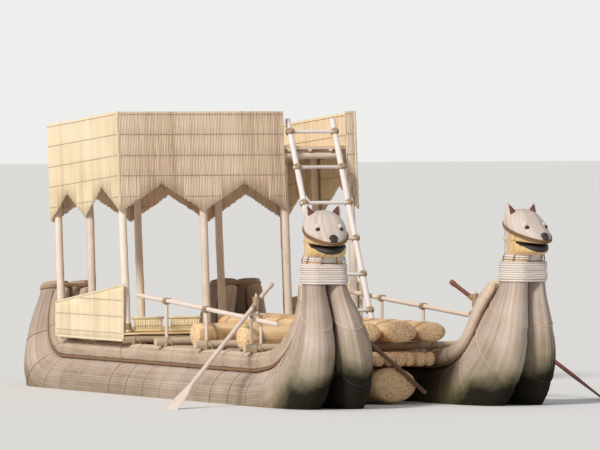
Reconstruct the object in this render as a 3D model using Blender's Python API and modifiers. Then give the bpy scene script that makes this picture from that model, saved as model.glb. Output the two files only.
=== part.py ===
"""Reed boat with two hulls, a two-storey reed cabin, animal-head prows and two oars.

Metres, +X to the bow, +Y to port, +Z up.  Heights in the tables are above the
waterline, and the whole boat is raised by its draft at the end, so that the
keels stand on the floor plane.
"""
import math

import bmesh
import bpy
from mathutils import Matrix, Vector

for old in list(bpy.data.objects):
    bpy.data.objects.remove(old, do_unlink=True)

# Driving dimensions.
GAP = 0.0003                 # air left between touching pieces
DRAFT = 0.32                 # keel below the waterline
HULL_Y = 1.04                # centre line of a hull
CREST_H = 0.35               # crest of the hull bundles amidships
ROLL_R = 0.10                # thin roll along the crest of each hull bundle
ROLL_TOP = CREST_H + GAP + 2 * ROLL_R
BEAM_R = 0.045               # cross beams that tie the hulls together
BEAM_TOP = ROLL_TOP + GAP + 2 * BEAM_R
BEAM_SIDES = 12
SPLAY_CLEAR = 0.003          # the bundles of a prow part by this much where they splay
HULL_SIDES = 16
ROLL_SIDES = 8
POLE_SIDES = 10

CABIN_FRONT_X = -1.13        # front row of posts, at deck height
CABIN_MID_X = -2.00
CABIN_AFT_X = -2.83
POST_Y = 1.39
POST_INNER_STARBOARD_Y = -0.42
POST_INNER_PORT_Y = 0.58
POST_R = 0.045
CABIN_TILT = math.radians(4.8)   # posts lean aft and the upper deck falls aft
BEAM_HALF_LENGTH = POST_Y + POST_R
FLOOR_THICKNESS = 0.03
UPPER_TOP = 2.70             # upper deck surface at the front posts
UPPER_THICKNESS = 0.07
HEADER_DEPTH = 0.08
HEADER_INSET = 0.006         # the header is this much thinner than its posts
TRIM = 0.30                  # overrun of the blocks that cut the posts' feet
MAT_THICKNESS = 0.032
PARAPET_TOP = 3.08
VALANCE_TIP = 1.99
VALANCE_PEAK = 2.29
WALL_CLEAR = 0.02            # low walls stop this far above the rolls
WALL_FOOT = ROLL_TOP + WALL_CLEAR
WALL_TOP_AFT = 0.97
WALL_TOP_FORE = 1.20
FRONT_WALL_TOP = 0.84
STAKE_Y = -0.91              # gap between the two front wall panels
WALL_GAP = 0.03
OPENING_FROM_Y = 0.57        # ladder opening in the front parapet
OPENING_TO_Y = 1.32

STILE_R = 0.034              # ladder
RUNG_R = 0.021
LADDER_Y = (0.66, 1.21)
REST_CLEAR = 0.001           # ladder to the upper deck's edge
LADDER_OVER = 0.30           # how far the stiles stand above the upper deck's edge
RUNG_COUNT = 6
RUNG_FIRST = 0.28
RUNG_BELOW_TOP = 0.15

RAIL_Y = 1.30                # handrails
RAIL_R = 0.026
RAIL_HIGH = 1.08
RAIL_LOW = 0.86
RAIL_FRONT_X = 2.46
STUB_R = 0.020
RAIL_STUBS = ("ladder", "midship")

CRUTCH_HALF_WIDTH = 0.055    # crutches: hoops over the rails, each with a peg on top
CRUTCH_OVER = 0.018
CRUTCH_R = 0.018
CRUTCH_TOP = 0.97
LEG_R = 0.016
SINK_SHARE = 0.4             # how far legs and peg reach into the bar, of its radius
SEAT_R = 0.033
SEAT_THICKNESS = 0.014
PEG_R = 0.011
PEG_TOP = 1.17

OAR_CLEAR = 0.001            # running clearance of an oar on its peg
BOSS_R = 0.042
BOSS_HALF_HEIGHT = 0.082
SHAFT_R = 0.024
SWEEP = math.radians(25)     # forward sweep of the oars at rest
OAR_OUT = 1.26               # level distance from the pivot to the blade's middle
OAR_DROP = 0.97
HANDLE_IN = 0.34
BLADE_LENGTH = 0.52
BLADE_HALF_WIDTH = 0.085
BLADE_HALF_THICKNESS = 0.014

LOOKS = {
    # slot: (base colour, roughness)
    "reed": ((0.66, 0.50, 0.30), 0.85),
    "reed_mat": ((0.70, 0.55, 0.38), 0.9),
    "pole": ((0.62, 0.50, 0.40), 0.75),
    "rope": ((0.30, 0.20, 0.10), 0.9),
    "head": ((0.62, 0.44, 0.22), 0.85),
    "oar": ((0.50, 0.30, 0.22), 0.7),
}


def material(slot):
    found = bpy.data.materials.get(slot)
    if found:
        return found
    made = bpy.data.materials.new(slot)
    made.use_nodes = True
    shader = made.node_tree.nodes["Principled BSDF"]
    colour, roughness = LOOKS[slot]
    shader.inputs["Base Color"].default_value = (*colour, 1.0)
    shader.inputs["Roughness"].default_value = roughness
    shader.inputs["Metallic"].default_value = 0.0
    return made


boat = bpy.data.collections.new("reed_boat")
bpy.context.scene.collection.children.link(boat)
bpy.context.view_layer.active_layer_collection = (
    bpy.context.view_layer.layer_collection.children["reed_boat"])


def dress(made, name, slot):
    """Name an object and give it its material."""
    made.name = name
    made.data.name = name
    made.data.materials.clear()
    made.data.materials.append(material(slot))
    return made


def settle(made, origin=(0, 0, 0)):
    """Apply an object's place and modifiers, and put its origin at a point."""
    bpy.context.view_layer.update()
    for step in list(made.modifiers):
        bpy.context.view_layer.objects.active = made
        bpy.ops.object.modifier_apply(modifier=step.name)
    origin = Vector(origin)
    made.data.transform(Matrix.Translation(-origin) @ made.matrix_world)
    made.matrix_world = Matrix.Translation(origin)
    return made


def ring(centre, across, upward, half_across, half_up, sides):
    """Closed polygon with flats at the ends of both axes."""
    stretch = 1 / math.cos(math.pi / sides)
    points = []
    for index in range(sides):
        turn = 2 * math.pi * (index + 0.5) / sides
        points.append(centre + across * (half_across * stretch * math.cos(turn))
                      + upward * (half_up * stretch * math.sin(turn)))
    return points


def loft(name, rings, slot, closed=False):
    """Skin over unlike rings; a closed loft runs back into its first ring."""
    count = len(rings[0])
    body = bmesh.new()
    rows = [[body.verts.new(p) for p in one] for one in rings]
    links = list(zip(rows, rows[1:]))
    if closed:
        links.append((rows[-1], rows[0]))
    else:
        body.faces.new(rows[0])
        body.faces.new(rows[-1])
    for here, after in links:
        for col in range(count):
            side = (col + 1) % count
            body.faces.new([here[col], here[side], after[side], after[col]])
    bmesh.ops.recalc_face_normals(body, faces=body.faces)
    mesh = bpy.data.meshes.new(name)
    body.to_mesh(mesh)
    body.free()
    made = bpy.data.objects.new(name, mesh)
    boat.objects.link(made)
    return dress(made, name, slot)


def pole(name, start, end, radius, slot, sides=POLE_SIDES, end_radius=None):
    """Straight round pole between two points, with its radius across the flats."""
    start, end = Vector(start), Vector(end)
    line = end - start
    stretch = 1 / math.cos(math.pi / sides)
    last = end_radius if end_radius else radius
    bpy.ops.mesh.primitive_cone_add(vertices=sides, radius1=radius * stretch,
                                    radius2=last * stretch, depth=line.length,
                                    location=(start + end) / 2,
                                    rotation=line.to_track_quat("Z", "Y").to_euler())
    made = bpy.context.object
    made.data.transform(Matrix.Rotation(math.pi / sides, 4, "Z"))
    made.data.shade_smooth()
    made.data.set_sharp_from_angle(angle=math.radians(50))
    return dress(made, name, slot)


def box(name, low, high, slot):
    """Box between two corners."""
    low, high = Vector(low), Vector(high)
    bpy.ops.mesh.primitive_cube_add(size=1, location=(low + high) / 2)
    made = bpy.context.object
    made.data.transform(Matrix.Diagonal((*(high - low), 1)))
    return dress(made, name, slot)


def sheet(name, outline, thickness, slot):
    """Flat outline with a thickness, its middle in the object's own XY plane."""
    curve = bpy.data.curves.new(name, "CURVE")
    curve.dimensions = "2D"
    curve.fill_mode = "BOTH"
    curve.extrude = thickness / 2
    spline = curve.splines.new("POLY")
    spline.points.add(len(outline) - 1)
    for point, (x, y) in zip(spline.points, outline):
        point.co = (x, y, 0, 1)
    spline.use_cyclic_u = True
    made = bpy.data.objects.new(name, curve)
    boat.objects.link(made)
    return dress(made, name, slot)


def combine(base, other, operation):
    step = base.modifiers.new(operation.lower(), "BOOLEAN")
    step.operation = operation
    step.solver = "EXACT"
    step.object = other
    bpy.context.view_layer.objects.active = base
    bpy.ops.object.modifier_apply(modifier=step.name)
    bpy.data.objects.remove(other, do_unlink=True)
    return base


def join(base, others):
    """Union of closed bodies into the first one."""
    for other in others:
        combine(base, other, "UNION")
    return base


def cut(base, cutter):
    return combine(base, cutter, "DIFFERENCE")


def smooth_rows(table, step_counts):
    """Rows of a table with smooth steps between them, so many after each row."""
    rows = []
    for index, steps in enumerate(step_counts):
        before = table[max(index - 1, 0)]
        here, after = table[index], table[index + 1]
        beyond = table[min(index + 2, len(table) - 1)]
        for step in range(steps):
            t = step / steps
            row = []
            for a, b, c, d in zip(before, here, after, beyond):
                row.append(0.5 * (2 * b + (c - a) * t + (2 * a - 5 * b + 4 * c - d) * t * t
                                  + (3 * b - a - 3 * c + d) * t ** 3))
            rows.append(row)
    rows.append(list(table[-1]))
    return rows


# The hulls.  Each station has a point on the keel side and one on the deck side.
# The splay and the yaw turn the prows outward.
HULL_LINE = [
    # keel_x, keel_h, top_x, top_h, half_width, splay, yaw_degrees
    (-3.60, 1.13, -3.34, 1.18, 0.150, 0.00, 0.0),
    (-3.64, 1.02, -3.38, 1.07, 0.150, 0.00, 0.0),
    (-3.76, 0.74, -3.41, 0.84, 0.185, 0.00, 0.0),
    (-3.85, 0.38, -3.35, 0.60, 0.218, 0.00, 0.0),
    (-3.82, 0.04, -3.21, 0.44, 0.242, 0.00, 0.0),
    (-3.60, -0.23, -3.05, 0.37, 0.250, 0.00, 0.0),
    (-3.25, -0.31, -2.95, CREST_H, 0.250, 0.00, 0.0),
    (-2.80, -DRAFT, -2.80, CREST_H, 0.250, 0.00, 0.0),
    (2.05, -DRAFT, 2.05, CREST_H, 0.250, 0.00, 0.0),
    (2.60, -0.30, 2.42, 0.40, 0.250, 0.00, 1.5),
    (3.05, -0.19, 2.72, 0.53, 0.242, 0.01, 4.0),
    (3.42, 0.07, 2.93, 0.73, 0.225, 0.02, 7.0),
    (3.62, 0.42, 3.04, 0.94, 0.200, 0.04, 9.0),
    (3.60, 0.80, 3.08, 1.09, 0.165, 0.07, 10.0),
    (3.50, 1.10, 3.09, 1.19, 0.130, 0.10, 10.0),
    (3.46, 1.25, 3.07, 1.25, 0.110, 0.12, 10.0),
    (3.45, 1.52, 3.06, 1.52, 0.110, 0.13, 10.0),
]
# Smooth steps from each station to the next.
HULL_STEPS = (1, 2, 2, 2, 2, 1, 1, 1, 1, 2, 2, 2, 2, 2, 1, 1)
ROLL_SKIP = (1, 1)           # rows at stern and bow that the rolls leave to the ropes
HULL_ROWS = smooth_rows(HULL_LINE, HULL_STEPS)

SIDES = [
    # word, sign
    ("starboard", -1),
    ("port", 1),
]
BUNDLES = [
    # word, side of the hull's centre line
    ("outer", 1),
    ("inner", -1),
]


def station(row, sign, place):
    """Centre, across and upward directions, half height and half width of a bundle."""
    keel_x, keel_h, top_x, top_h, half_width, splay, yaw_degrees = row
    turn = math.radians(yaw_degrees) * sign
    ahead = Vector((math.cos(turn), math.sin(turn), 0))
    across = Vector((-math.sin(turn), math.cos(turn), 0))
    clear = GAP / 2 + (SPLAY_CLEAR if yaw_degrees > 0 else 0)
    middle = Vector(((keel_x + top_x) / 2, sign * (HULL_Y + splay), (keel_h + top_h) / 2))
    middle += across * (sign * place * (half_width + clear))
    rise = ahead * (top_x - keel_x) + Vector((0, 0, top_h - keel_h))
    return middle, across, rise.normalized(), rise.length / 2, half_width


def pair_outline(row, sign, extra):
    """Outline around both bundles of a hull at a station, grown by an extra distance."""
    points = []
    for word, place in BUNDLES:
        centre, across, upward, half_height, half_width = station(row, sign, place)
        outward = across * (sign * place)
        whole = ring(centre, outward, upward, half_width + extra, half_height + extra, HULL_SIDES)
        kept = [p for p in whole if (p - centre).dot(outward) > 0]
        kept.sort(key=lambda p: (p - centre).dot(upward))
        points.extend(kept if place > 0 else kept[::-1])
    return points


for side, sign in SIDES:
    for word, place in BUNDLES:
        skin, crest = [], []
        for row in HULL_ROWS:
            centre, across, upward, half_height, half_width = station(row, sign, place)
            skin.append(ring(centre, across, upward, half_width, half_height, HULL_SIDES))
            clear = SPLAY_CLEAR if row[-1] > 0 else GAP
            middle = centre + upward * (half_height + clear + ROLL_R)
            crest.append(ring(middle, across, upward, ROLL_R, ROLL_R, ROLL_SIDES))
        loft(f"hull_{side}_{word}", skin, "reed")
        loft(f"roll_{side}_{word}", crest[ROLL_SKIP[0]:len(crest) - ROLL_SKIP[1]], "reed")


def band(name, row_low, row_high, sign, profile, slot):
    """Rope band around both bundles of a hull; the profile swells it in and out."""
    def outline(share, extra):
        ends = zip(pair_outline(row_low, sign, extra), pair_outline(row_high, sign, extra))
        return [low.lerp(high, share) for low, high in ends]

    outer = [outline(share, swell) for share, swell in profile]
    inner = [outline(share, GAP) for share in (profile[0][0], profile[-1][0])]
    return loft(name, outer + inner[::-1], slot, closed=True)


COLLAR_PROFILE = [
    # height share, thickness
    (0.20, 0.008),
    (0.28, 0.026),
    (0.52, 0.030),
    (0.60, 0.012),
    (0.68, 0.024),
    (0.91, 0.024),
    (0.99, 0.008),
]
TIE_PROFILE = [
    # height share, thickness
    (0.30, 0.008),
    (0.38, 0.020),
    (0.52, 0.020),
    (0.60, 0.008),
]
# The muzzle droops: a ring falls by its droop share of the way forward.  The row
# drawn back between two that stand forward is the open mouth.
HEAD_TABLE = [
    # height, forward, half_depth, half_width, droop share
    (0.000, 0.000, 0.195, 0.205, 0.00),
    (0.055, 0.005, 0.200, 0.208, 0.04),
    (0.100, 0.045, 0.245, 0.211, 0.08),
    (0.130, 0.068, 0.268, 0.213, 0.11),
    (0.175, 0.072, 0.272, 0.215, 0.13),
    (0.200, 0.062, 0.264, 0.216, 0.14),
    (0.212, 0.022, 0.226, 0.216, 0.14),
    (0.226, 0.024, 0.228, 0.217, 0.14),
    (0.238, 0.082, 0.286, 0.218, 0.15),
    (0.285, 0.102, 0.308, 0.221, 0.17),
    (0.335, 0.088, 0.296, 0.223, 0.18),
    (0.390, 0.036, 0.240, 0.222, 0.14),
    (0.440, 0.006, 0.200, 0.208, 0.06),
    (0.490, -0.006, 0.155, 0.170, 0.02),
    (0.525, -0.012, 0.105, 0.118, 0.00),
    (0.542, -0.015, 0.055, 0.062, 0.00),
]
EAR_FOOT_ACROSS = 0.115
EAR_TIP_ACROSS = 0.170
EAR_BACK = 0.04
EAR_FOOT = 0.40
EAR_TIP = 0.61
EAR_R = 0.062
EAR_TIP_R = 0.020
HEAD_SIDES = 16

for side, sign in SIDES:
    band(f"collar_{side}", HULL_ROWS[-2], HULL_ROWS[-1], sign, COLLAR_PROFILE, "rope")
    band(f"stern_tie_{side}", HULL_ROWS[0], HULL_ROWS[1], sign, TIE_PROFILE, "rope")
    end = HULL_ROWS[-1]
    inner = station(end, sign, -1)
    outer = station(end, sign, 1)
    middle = (inner[0] + outer[0]) / 2 + Vector((0, 0, GAP))
    across = inner[1]
    ahead = across.cross(Vector((0, 0, 1)))
    skin = []
    for height, forward, half_depth, half_width, droop in HEAD_TABLE:
        muzzle = ahead - Vector((0, 0, droop))
        centre = middle + muzzle * forward + Vector((0, 0, height))
        skin.append(ring(centre, muzzle, across, half_depth, half_width, HEAD_SIDES))
    head = loft(f"head_{side}", skin, "head")
    ears = []
    for hand in (-1, 1):
        foot = middle - ahead * EAR_BACK + across * (hand * EAR_FOOT_ACROSS)
        tip = middle - ahead * EAR_BACK + across * (hand * EAR_TIP_ACROSS)
        ears.append(pole(f"ear_{hand}", foot + Vector((0, 0, EAR_FOOT)),
                         tip + Vector((0, 0, EAR_TIP)), EAR_R, "head", end_radius=EAR_TIP_R))
    join(head, ears)

# Centre float, the reed layer over it, the cross beams and the deck bundles.
FLOAT_FRONT_X = 2.60
FLOAT_AFT_X = -3.00
FLOAT_H = 0.205
FLOAT_HALF_HEIGHT = 0.185
FLOAT_HALF_WIDTH = 0.26
LAYER_FRONT_X = 2.50
LAYER_AFT_X = -3.05
LAYER_HALF_WIDTH = 0.54
LAYER_BOTTOM = FLOAT_H + FLOAT_HALF_HEIGHT + GAP
LAYER_TOP = ROLL_TOP
END_EASE = 0.018             # eased edge of a bundle's cut end


def bundle(name, start, end, half_width, half_height, slot="reed", sides=HULL_SIDES):
    """Straight reed bundle of oval section with eased ends."""
    made = pole(name, start, end, half_width, slot, sides)
    made.data.transform(Matrix.Diagonal((1, half_height / half_width, 1, 1)))
    ease = made.modifiers.new("ease", "BEVEL")
    ease.width = END_EASE
    ease.segments = 2
    ease.limit_method = "ANGLE"
    ease.angle_limit = math.radians(60)
    return settle(made)


bundle("centre_float", (FLOAT_AFT_X, 0, FLOAT_H), (FLOAT_FRONT_X, 0, FLOAT_H),
       FLOAT_HALF_WIDTH, FLOAT_HALF_HEIGHT)

layer_h = (LAYER_BOTTOM + LAYER_TOP) / 2
layer_half = (LAYER_TOP - LAYER_BOTTOM) / 2
LAYER_LOBES = 3
lobe_half = LAYER_HALF_WIDTH / LAYER_LOBES
LOBE_OVERLAP = 0.02
lobes = []
for index in range(LAYER_LOBES):
    y = (index - (LAYER_LOBES - 1) / 2) * 2 * lobe_half
    lobes.append(bundle(f"deck_layer_{index}", (LAYER_AFT_X, y, layer_h),
                        (LAYER_FRONT_X, y, layer_h), lobe_half + LOBE_OVERLAP, layer_half))
layer = join(lobes[0], lobes[1:])
layer.name = "deck_layer"

AFT_BEAM_INSET = 0.07
BEAMS = [
    # word, x
    ("aft", CABIN_AFT_X + AFT_BEAM_INSET),
    ("cabin", CABIN_MID_X),
    ("front", CABIN_FRONT_X),
    ("ladder", -0.30),
    ("midship", 0.70),
    ("oar", 1.92),
]
BEAM_X = dict(BEAMS)
beam_h = ROLL_TOP + GAP + BEAM_R
for word, x in BEAMS:
    pole(f"beam_{word}", (x, -BEAM_HALF_LENGTH, beam_h), (x, BEAM_HALF_LENGTH, beam_h), BEAM_R,
         "pole", BEAM_SIDES)

DECK_BUNDLES = [
    # word, y, aft_x, front_x, half_width, half_height
    ("starboard", -0.24, -0.90, 2.40, 0.18, 0.115),
    ("middle", 0.16, -0.90, 2.43, 0.19, 0.115),
    ("port", 0.55, 0.05, 2.38, 0.17, 0.110),
]
for word, y, aft_x, front_x, half_width, half_height in DECK_BUNDLES:
    height = BEAM_TOP + GAP + half_height
    bundle(f"deck_bundle_{word}", (aft_x, y, height), (front_x, y, height), half_width,
           half_height)

SEATS = [
    # word, x, y_from, y_to, half_width, half_height
    ("fore", 1.35, -1.20, -0.44, 0.14, 0.13),
    ("aft", 0.20, -1.20, -0.44, 0.14, 0.13),
]
for word, x, y_from, y_to, half_width, half_height in SEATS:
    height = ROLL_TOP + GAP + half_height
    bundle(f"seat_{word}", (x, y_from, height), (x, y_to, height), half_width, half_height)

BOW_POLE_R = 0.026
BOW_POLE_SPAN = 0.34
BOW_POLE_HIGH = 0.68
BOW_POLE_LOW = 0.12
bow_x = FLOAT_FRONT_X + GAP + BOW_POLE_R
pole("bow_pole", (bow_x, -BOW_POLE_SPAN, BOW_POLE_HIGH), (bow_x, BOW_POLE_SPAN, BOW_POLE_LOW),
     BOW_POLE_R, "pole", BEAM_SIDES)

# The cabin.  It stands on the level floor, but its posts and its upper deck are
# tilted together, so they belong to an empty at the foot of the front posts.
floor_low = BEAM_TOP + GAP
floor_top = floor_low + FLOOR_THICKNESS
post_foot = floor_top + GAP
floor_front = CABIN_FRONT_X + POST_R
floor_aft = CABIN_AFT_X - POST_R
floor_side = POST_Y + POST_R
box("cabin_floor", (floor_aft, -floor_side, floor_low), (floor_front, floor_side, floor_top),
    "reed_mat")

cabin = bpy.data.objects.new("cabin", None)
boat.objects.link(cabin)
cabin.location = (CABIN_FRONT_X, 0, post_foot)
cabin.rotation_euler = (0, -CABIN_TILT, 0)

deck_top = UPPER_TOP - post_foot
deck_bottom = deck_top - UPPER_THICKNESS
mat_top = PARAPET_TOP - post_foot
mid_x = CABIN_MID_X - CABIN_FRONT_X
aft_x = CABIN_AFT_X - CABIN_FRONT_X


def into_cabin(made, location=None, rotation=None):
    """Hand a piece to the tilted cabin, in whose own axes it was made."""
    if location is not None:
        made.location = location
    if rotation is not None:
        made.rotation_euler = rotation
    made.parent = cabin
    bpy.context.view_layer.update()
    return made


def trim_feet(made):
    """Cut a leaning piece level, just over the cabin floor."""
    clear = box("trim", (floor_aft - TRIM, -floor_side - TRIM, post_foot - 2 * TRIM),
                (floor_front + TRIM, floor_side + TRIM, post_foot), "pole")
    return cut(made, clear)


POST_ROWS = [
    # word, x in the cabin, places across
    ("front", 0, (-POST_Y, POST_INNER_STARBOARD_Y, POST_INNER_PORT_Y, POST_Y)),
    ("aft", aft_x, (-POST_Y, POST_INNER_STARBOARD_Y, POST_INNER_PORT_Y, POST_Y)),
]
header_top = deck_bottom - GAP
header_half = POST_R - HEADER_INSET
for word, x, places in POST_ROWS:
    header = box(f"frame_{word}", (x - header_half, -POST_Y, header_top - HEADER_DEPTH),
                 (x + header_half, POST_Y, header_top), "pole")
    bpy.context.view_layer.update()
    settle(header)
    posts = [pole(f"post_{index}", (x, y, -TRIM / 2), (x, y, header_top - HEADER_DEPTH / 2),
                  POST_R, "pole", BEAM_SIDES) for index, y in enumerate(places)]
    trim_feet(into_cabin(join(header, posts)))
for side, sign in SIDES:
    trim_feet(into_cabin(settle(pole(f"post_{side}", (mid_x, sign * POST_Y, -TRIM / 2),
                                     (mid_x, sign * POST_Y, header_top), POST_R, "pole",
                                     BEAM_SIDES))))
into_cabin(box("upper_deck", (aft_x - POST_R, -floor_side, deck_bottom),
               (POST_R, floor_side, deck_top), "reed_mat"))


def zigzag(from_place, to_place, bays):
    """Lower edge of a mat: a tip at each post and a peak in the middle of each bay."""
    points = []
    for index in range(2 * bays + 1):
        level = VALANCE_TIP if index % 2 == 0 else VALANCE_PEAK
        points.append((from_place + (to_place - from_place) * index / (2 * bays),
                       level - post_foot))
    return points


MATS = [
    # word, x in the cabin, direction it faces, y_from, y_to, bays
    ("front", POST_R, 1, -floor_side, OPENING_FROM_Y, 2),
    ("front_stub", POST_R, 1, OPENING_TO_Y, floor_side, 1),
    ("aft", aft_x - POST_R, -1, -floor_side, floor_side, 3),
]
for word, x, direction, y_from, y_to, bays in MATS:
    outline = zigzag(y_from, y_to, bays) + [(y_to, mat_top), (y_from, mat_top)]
    into_cabin(sheet(f"mat_{word}", outline, MAT_THICKNESS, "reed_mat"),
               (x + direction * (GAP + MAT_THICKNESS / 2), 0, 0), (math.pi / 2, 0, math.pi / 2))
mat_y = floor_side + GAP + MAT_THICKNESS / 2
wrap = GAP + MAT_THICKNESS
for side, sign in SIDES:
    outline = zigzag(aft_x - POST_R - wrap, POST_R + wrap, 2)
    outline += [(POST_R + wrap, mat_top), (aft_x - POST_R - wrap, mat_top)]
    into_cabin(sheet(f"mat_{side}", outline, MAT_THICKNESS, "reed_mat"),
               (0, sign * mat_y, 0), (math.pi / 2, 0, 0))
    outline = [(floor_aft, WALL_FOOT), (floor_front, WALL_FOOT), (floor_front, WALL_TOP_FORE),
               (floor_aft, WALL_TOP_AFT)]
    wall = sheet(f"wall_{side}", outline, MAT_THICKNESS, "reed_mat")
    wall.location = (0, sign * mat_y, 0)
    wall.rotation_euler = (math.pi / 2, 0, 0)
FRONT_WALLS = [
    # word, y_from, y_to
    ("outer", -POST_Y + POST_R + WALL_GAP, STAKE_Y - WALL_GAP),
    ("inner", STAKE_Y + WALL_GAP, POST_INNER_STARBOARD_Y - POST_R - WALL_GAP),
]
for word, y_from, y_to in FRONT_WALLS:
    box(f"wall_front_{word}", (CABIN_FRONT_X - MAT_THICKNESS, y_from, post_foot),
        (CABIN_FRONT_X, y_to, FRONT_WALL_TOP), "reed_mat")

# The ladder stands on a cross beam and leans on the edge of the upper deck.
bpy.context.view_layer.update()
foot = Vector((BEAM_X["ladder"], 0, BEAM_TOP + GAP))
rest = cabin.matrix_world @ Vector((POST_R, 0, deck_top))
reach = rest - foot
lean = math.atan2(-reach.x, reach.z) - math.asin((STILE_R + REST_CLEAR) / reach.length)
along = Vector((-math.sin(lean), 0, math.cos(lean)))
stile_length = reach.length + LADDER_OVER
rung_step = (stile_length - RUNG_FIRST - RUNG_BELOW_TOP) / (RUNG_COUNT - 1)
sides_of_ladder = [Vector((0, y, 0)) for y in LADDER_Y]
stiles = [pole(f"stile_{index}", foot - along * TRIM / 2 + place,
               foot + along * stile_length + place, STILE_R, "pole", BEAM_SIDES)
          for index, place in enumerate(sides_of_ladder)]
rungs = [pole(f"rung_{index}", foot + along * (RUNG_FIRST + rung_step * index)
              + sides_of_ladder[0], foot + along * (RUNG_FIRST + rung_step * index)
              + sides_of_ladder[1], RUNG_R, "pole") for index in range(RUNG_COUNT)]
ladder = join(stiles[0], rungs + stiles[1:])
ladder.name = "ladder"
cut(ladder, box("trim", (foot.x - TRIM, LADDER_Y[0] - TRIM, foot.z - TRIM),
                (foot.x + TRIM, LADDER_Y[1] + TRIM, foot.z), "pole"))

# Handrails, oar crutches and oars.
rail_aft_x = CABIN_FRONT_X + POST_R + MAT_THICKNESS


def rail_height(x):
    return RAIL_HIGH + (RAIL_LOW - RAIL_HIGH) * (x - rail_aft_x) / (RAIL_FRONT_X - rail_aft_x)


CRUTCH_X = BEAM_X["oar"]
boss_low = CRUTCH_TOP + SEAT_THICKNESS + OAR_CLEAR
pivot_h = boss_low + BOSS_HALF_HEIGHT
for side, sign in SIDES:
    y = sign * RAIL_Y
    rail = pole(f"rail_{side}", (rail_aft_x, y, RAIL_HIGH), (RAIL_FRONT_X, y, RAIL_LOW), RAIL_R,
                "pole")
    join(rail, [pole(f"stub_{word}", (BEAM_X[word], y, BEAM_TOP + GAP),
                     (BEAM_X[word], y, rail_height(BEAM_X[word])), STUB_R, "pole")
                for word in RAIL_STUBS])

    bar_h = CRUTCH_TOP - CRUTCH_R
    leg_places = (y - CRUTCH_HALF_WIDTH, y + CRUTCH_HALF_WIDTH)
    crutch = pole(f"crutch_{side}", (CRUTCH_X, leg_places[0] - CRUTCH_OVER, bar_h),
                  (CRUTCH_X, leg_places[1] + CRUTCH_OVER, bar_h), CRUTCH_R, "pole")
    legs = [pole(f"leg_{index}", (CRUTCH_X, leg_y, BEAM_TOP + GAP),
                 (CRUTCH_X, leg_y, bar_h - SINK_SHARE * CRUTCH_R), LEG_R, "pole")
            for index, leg_y in enumerate(leg_places)]
    cap = pole("cap", (CRUTCH_X, y, bar_h), (CRUTCH_X, y, CRUTCH_TOP + SEAT_THICKNESS), SEAT_R,
               "pole", BEAM_SIDES)
    peg = pole("peg", (CRUTCH_X, y, bar_h + SINK_SHARE * CRUTCH_R), (CRUTCH_X, y, PEG_TOP),
               PEG_R, "pole", BEAM_SIDES)
    join(crutch, legs + [cap, peg])

    out = Vector((math.sin(SWEEP), sign * math.cos(SWEEP), 0))
    pivot = Vector((CRUTCH_X, y, pivot_h))
    blade_mid = pivot + out * OAR_OUT - Vector((0, 0, OAR_DROP))
    down = (blade_mid - pivot).normalized()
    oar = pole(f"oar_{side}", pivot - down * HANDLE_IN, blade_mid, SHAFT_R, "oar")
    boss = pole("boss", (CRUTCH_X, y, boss_low), (CRUTCH_X, y, boss_low + 2 * BOSS_HALF_HEIGHT),
                BOSS_R, "oar", BEAM_SIDES)
    level = Vector((0, 0, 1)).cross(down).normalized()
    face = down.cross(level).normalized()
    blade = loft("blade", [
        ring(blade_mid - down * (BLADE_LENGTH / 2), level, face, SHAFT_R, SHAFT_R, POLE_SIDES),
        ring(blade_mid, level, face, BLADE_HALF_WIDTH, BLADE_HALF_THICKNESS, POLE_SIDES),
        ring(blade_mid + down * (BLADE_LENGTH / 2), level, face, BLADE_HALF_WIDTH,
             BLADE_HALF_THICKNESS, POLE_SIDES)], "oar")
    join(oar, [boss, blade])
    cut(oar, pole("bore", (CRUTCH_X, y, boss_low - BOSS_R),
                  (CRUTCH_X, y, boss_low + 2 * BOSS_HALF_HEIGHT + BOSS_R), PEG_R + OAR_CLEAR,
                  "oar", BEAM_SIDES))
    settle(oar, pivot)

# The boat hangs on one empty, which centres it over its origin and raises it by
# its draft.
hull_reach = [v.co.x for v in bpy.data.objects["hull_port_outer"].data.vertices]
root = bpy.data.objects.new("reed_boat", None)
boat.objects.link(root)
for made in list(boat.objects):
    if made != root and made.parent is None:
        made.parent = root
root.location = (-(min(hull_reach) + max(hull_reach)) / 2, 0, DRAFT)
bpy.context.view_layer.update()
print("root", tuple(root.location), "pivots",
      [tuple(bpy.data.objects[f"oar_{side}"].matrix_world.translation) for side, sign in SIDES])
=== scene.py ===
import math

import bmesh
import bpy
import numpy as np
from mathutils import Matrix, Vector


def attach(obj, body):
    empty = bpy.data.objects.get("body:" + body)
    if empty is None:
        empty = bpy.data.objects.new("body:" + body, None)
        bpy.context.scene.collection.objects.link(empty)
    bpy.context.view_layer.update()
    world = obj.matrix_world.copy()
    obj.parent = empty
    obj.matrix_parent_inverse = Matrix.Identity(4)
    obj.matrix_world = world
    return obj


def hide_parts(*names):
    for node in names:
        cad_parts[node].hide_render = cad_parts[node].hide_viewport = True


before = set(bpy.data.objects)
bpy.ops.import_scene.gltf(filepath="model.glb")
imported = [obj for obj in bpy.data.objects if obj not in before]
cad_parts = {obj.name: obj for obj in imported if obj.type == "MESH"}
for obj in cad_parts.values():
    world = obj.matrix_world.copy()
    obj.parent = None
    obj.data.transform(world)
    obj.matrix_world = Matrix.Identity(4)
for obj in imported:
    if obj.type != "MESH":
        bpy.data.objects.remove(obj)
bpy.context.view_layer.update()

scene = bpy.context.scene
scene.view_settings.view_transform = "Standard"
rng = np.random.default_rng(11)

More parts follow.
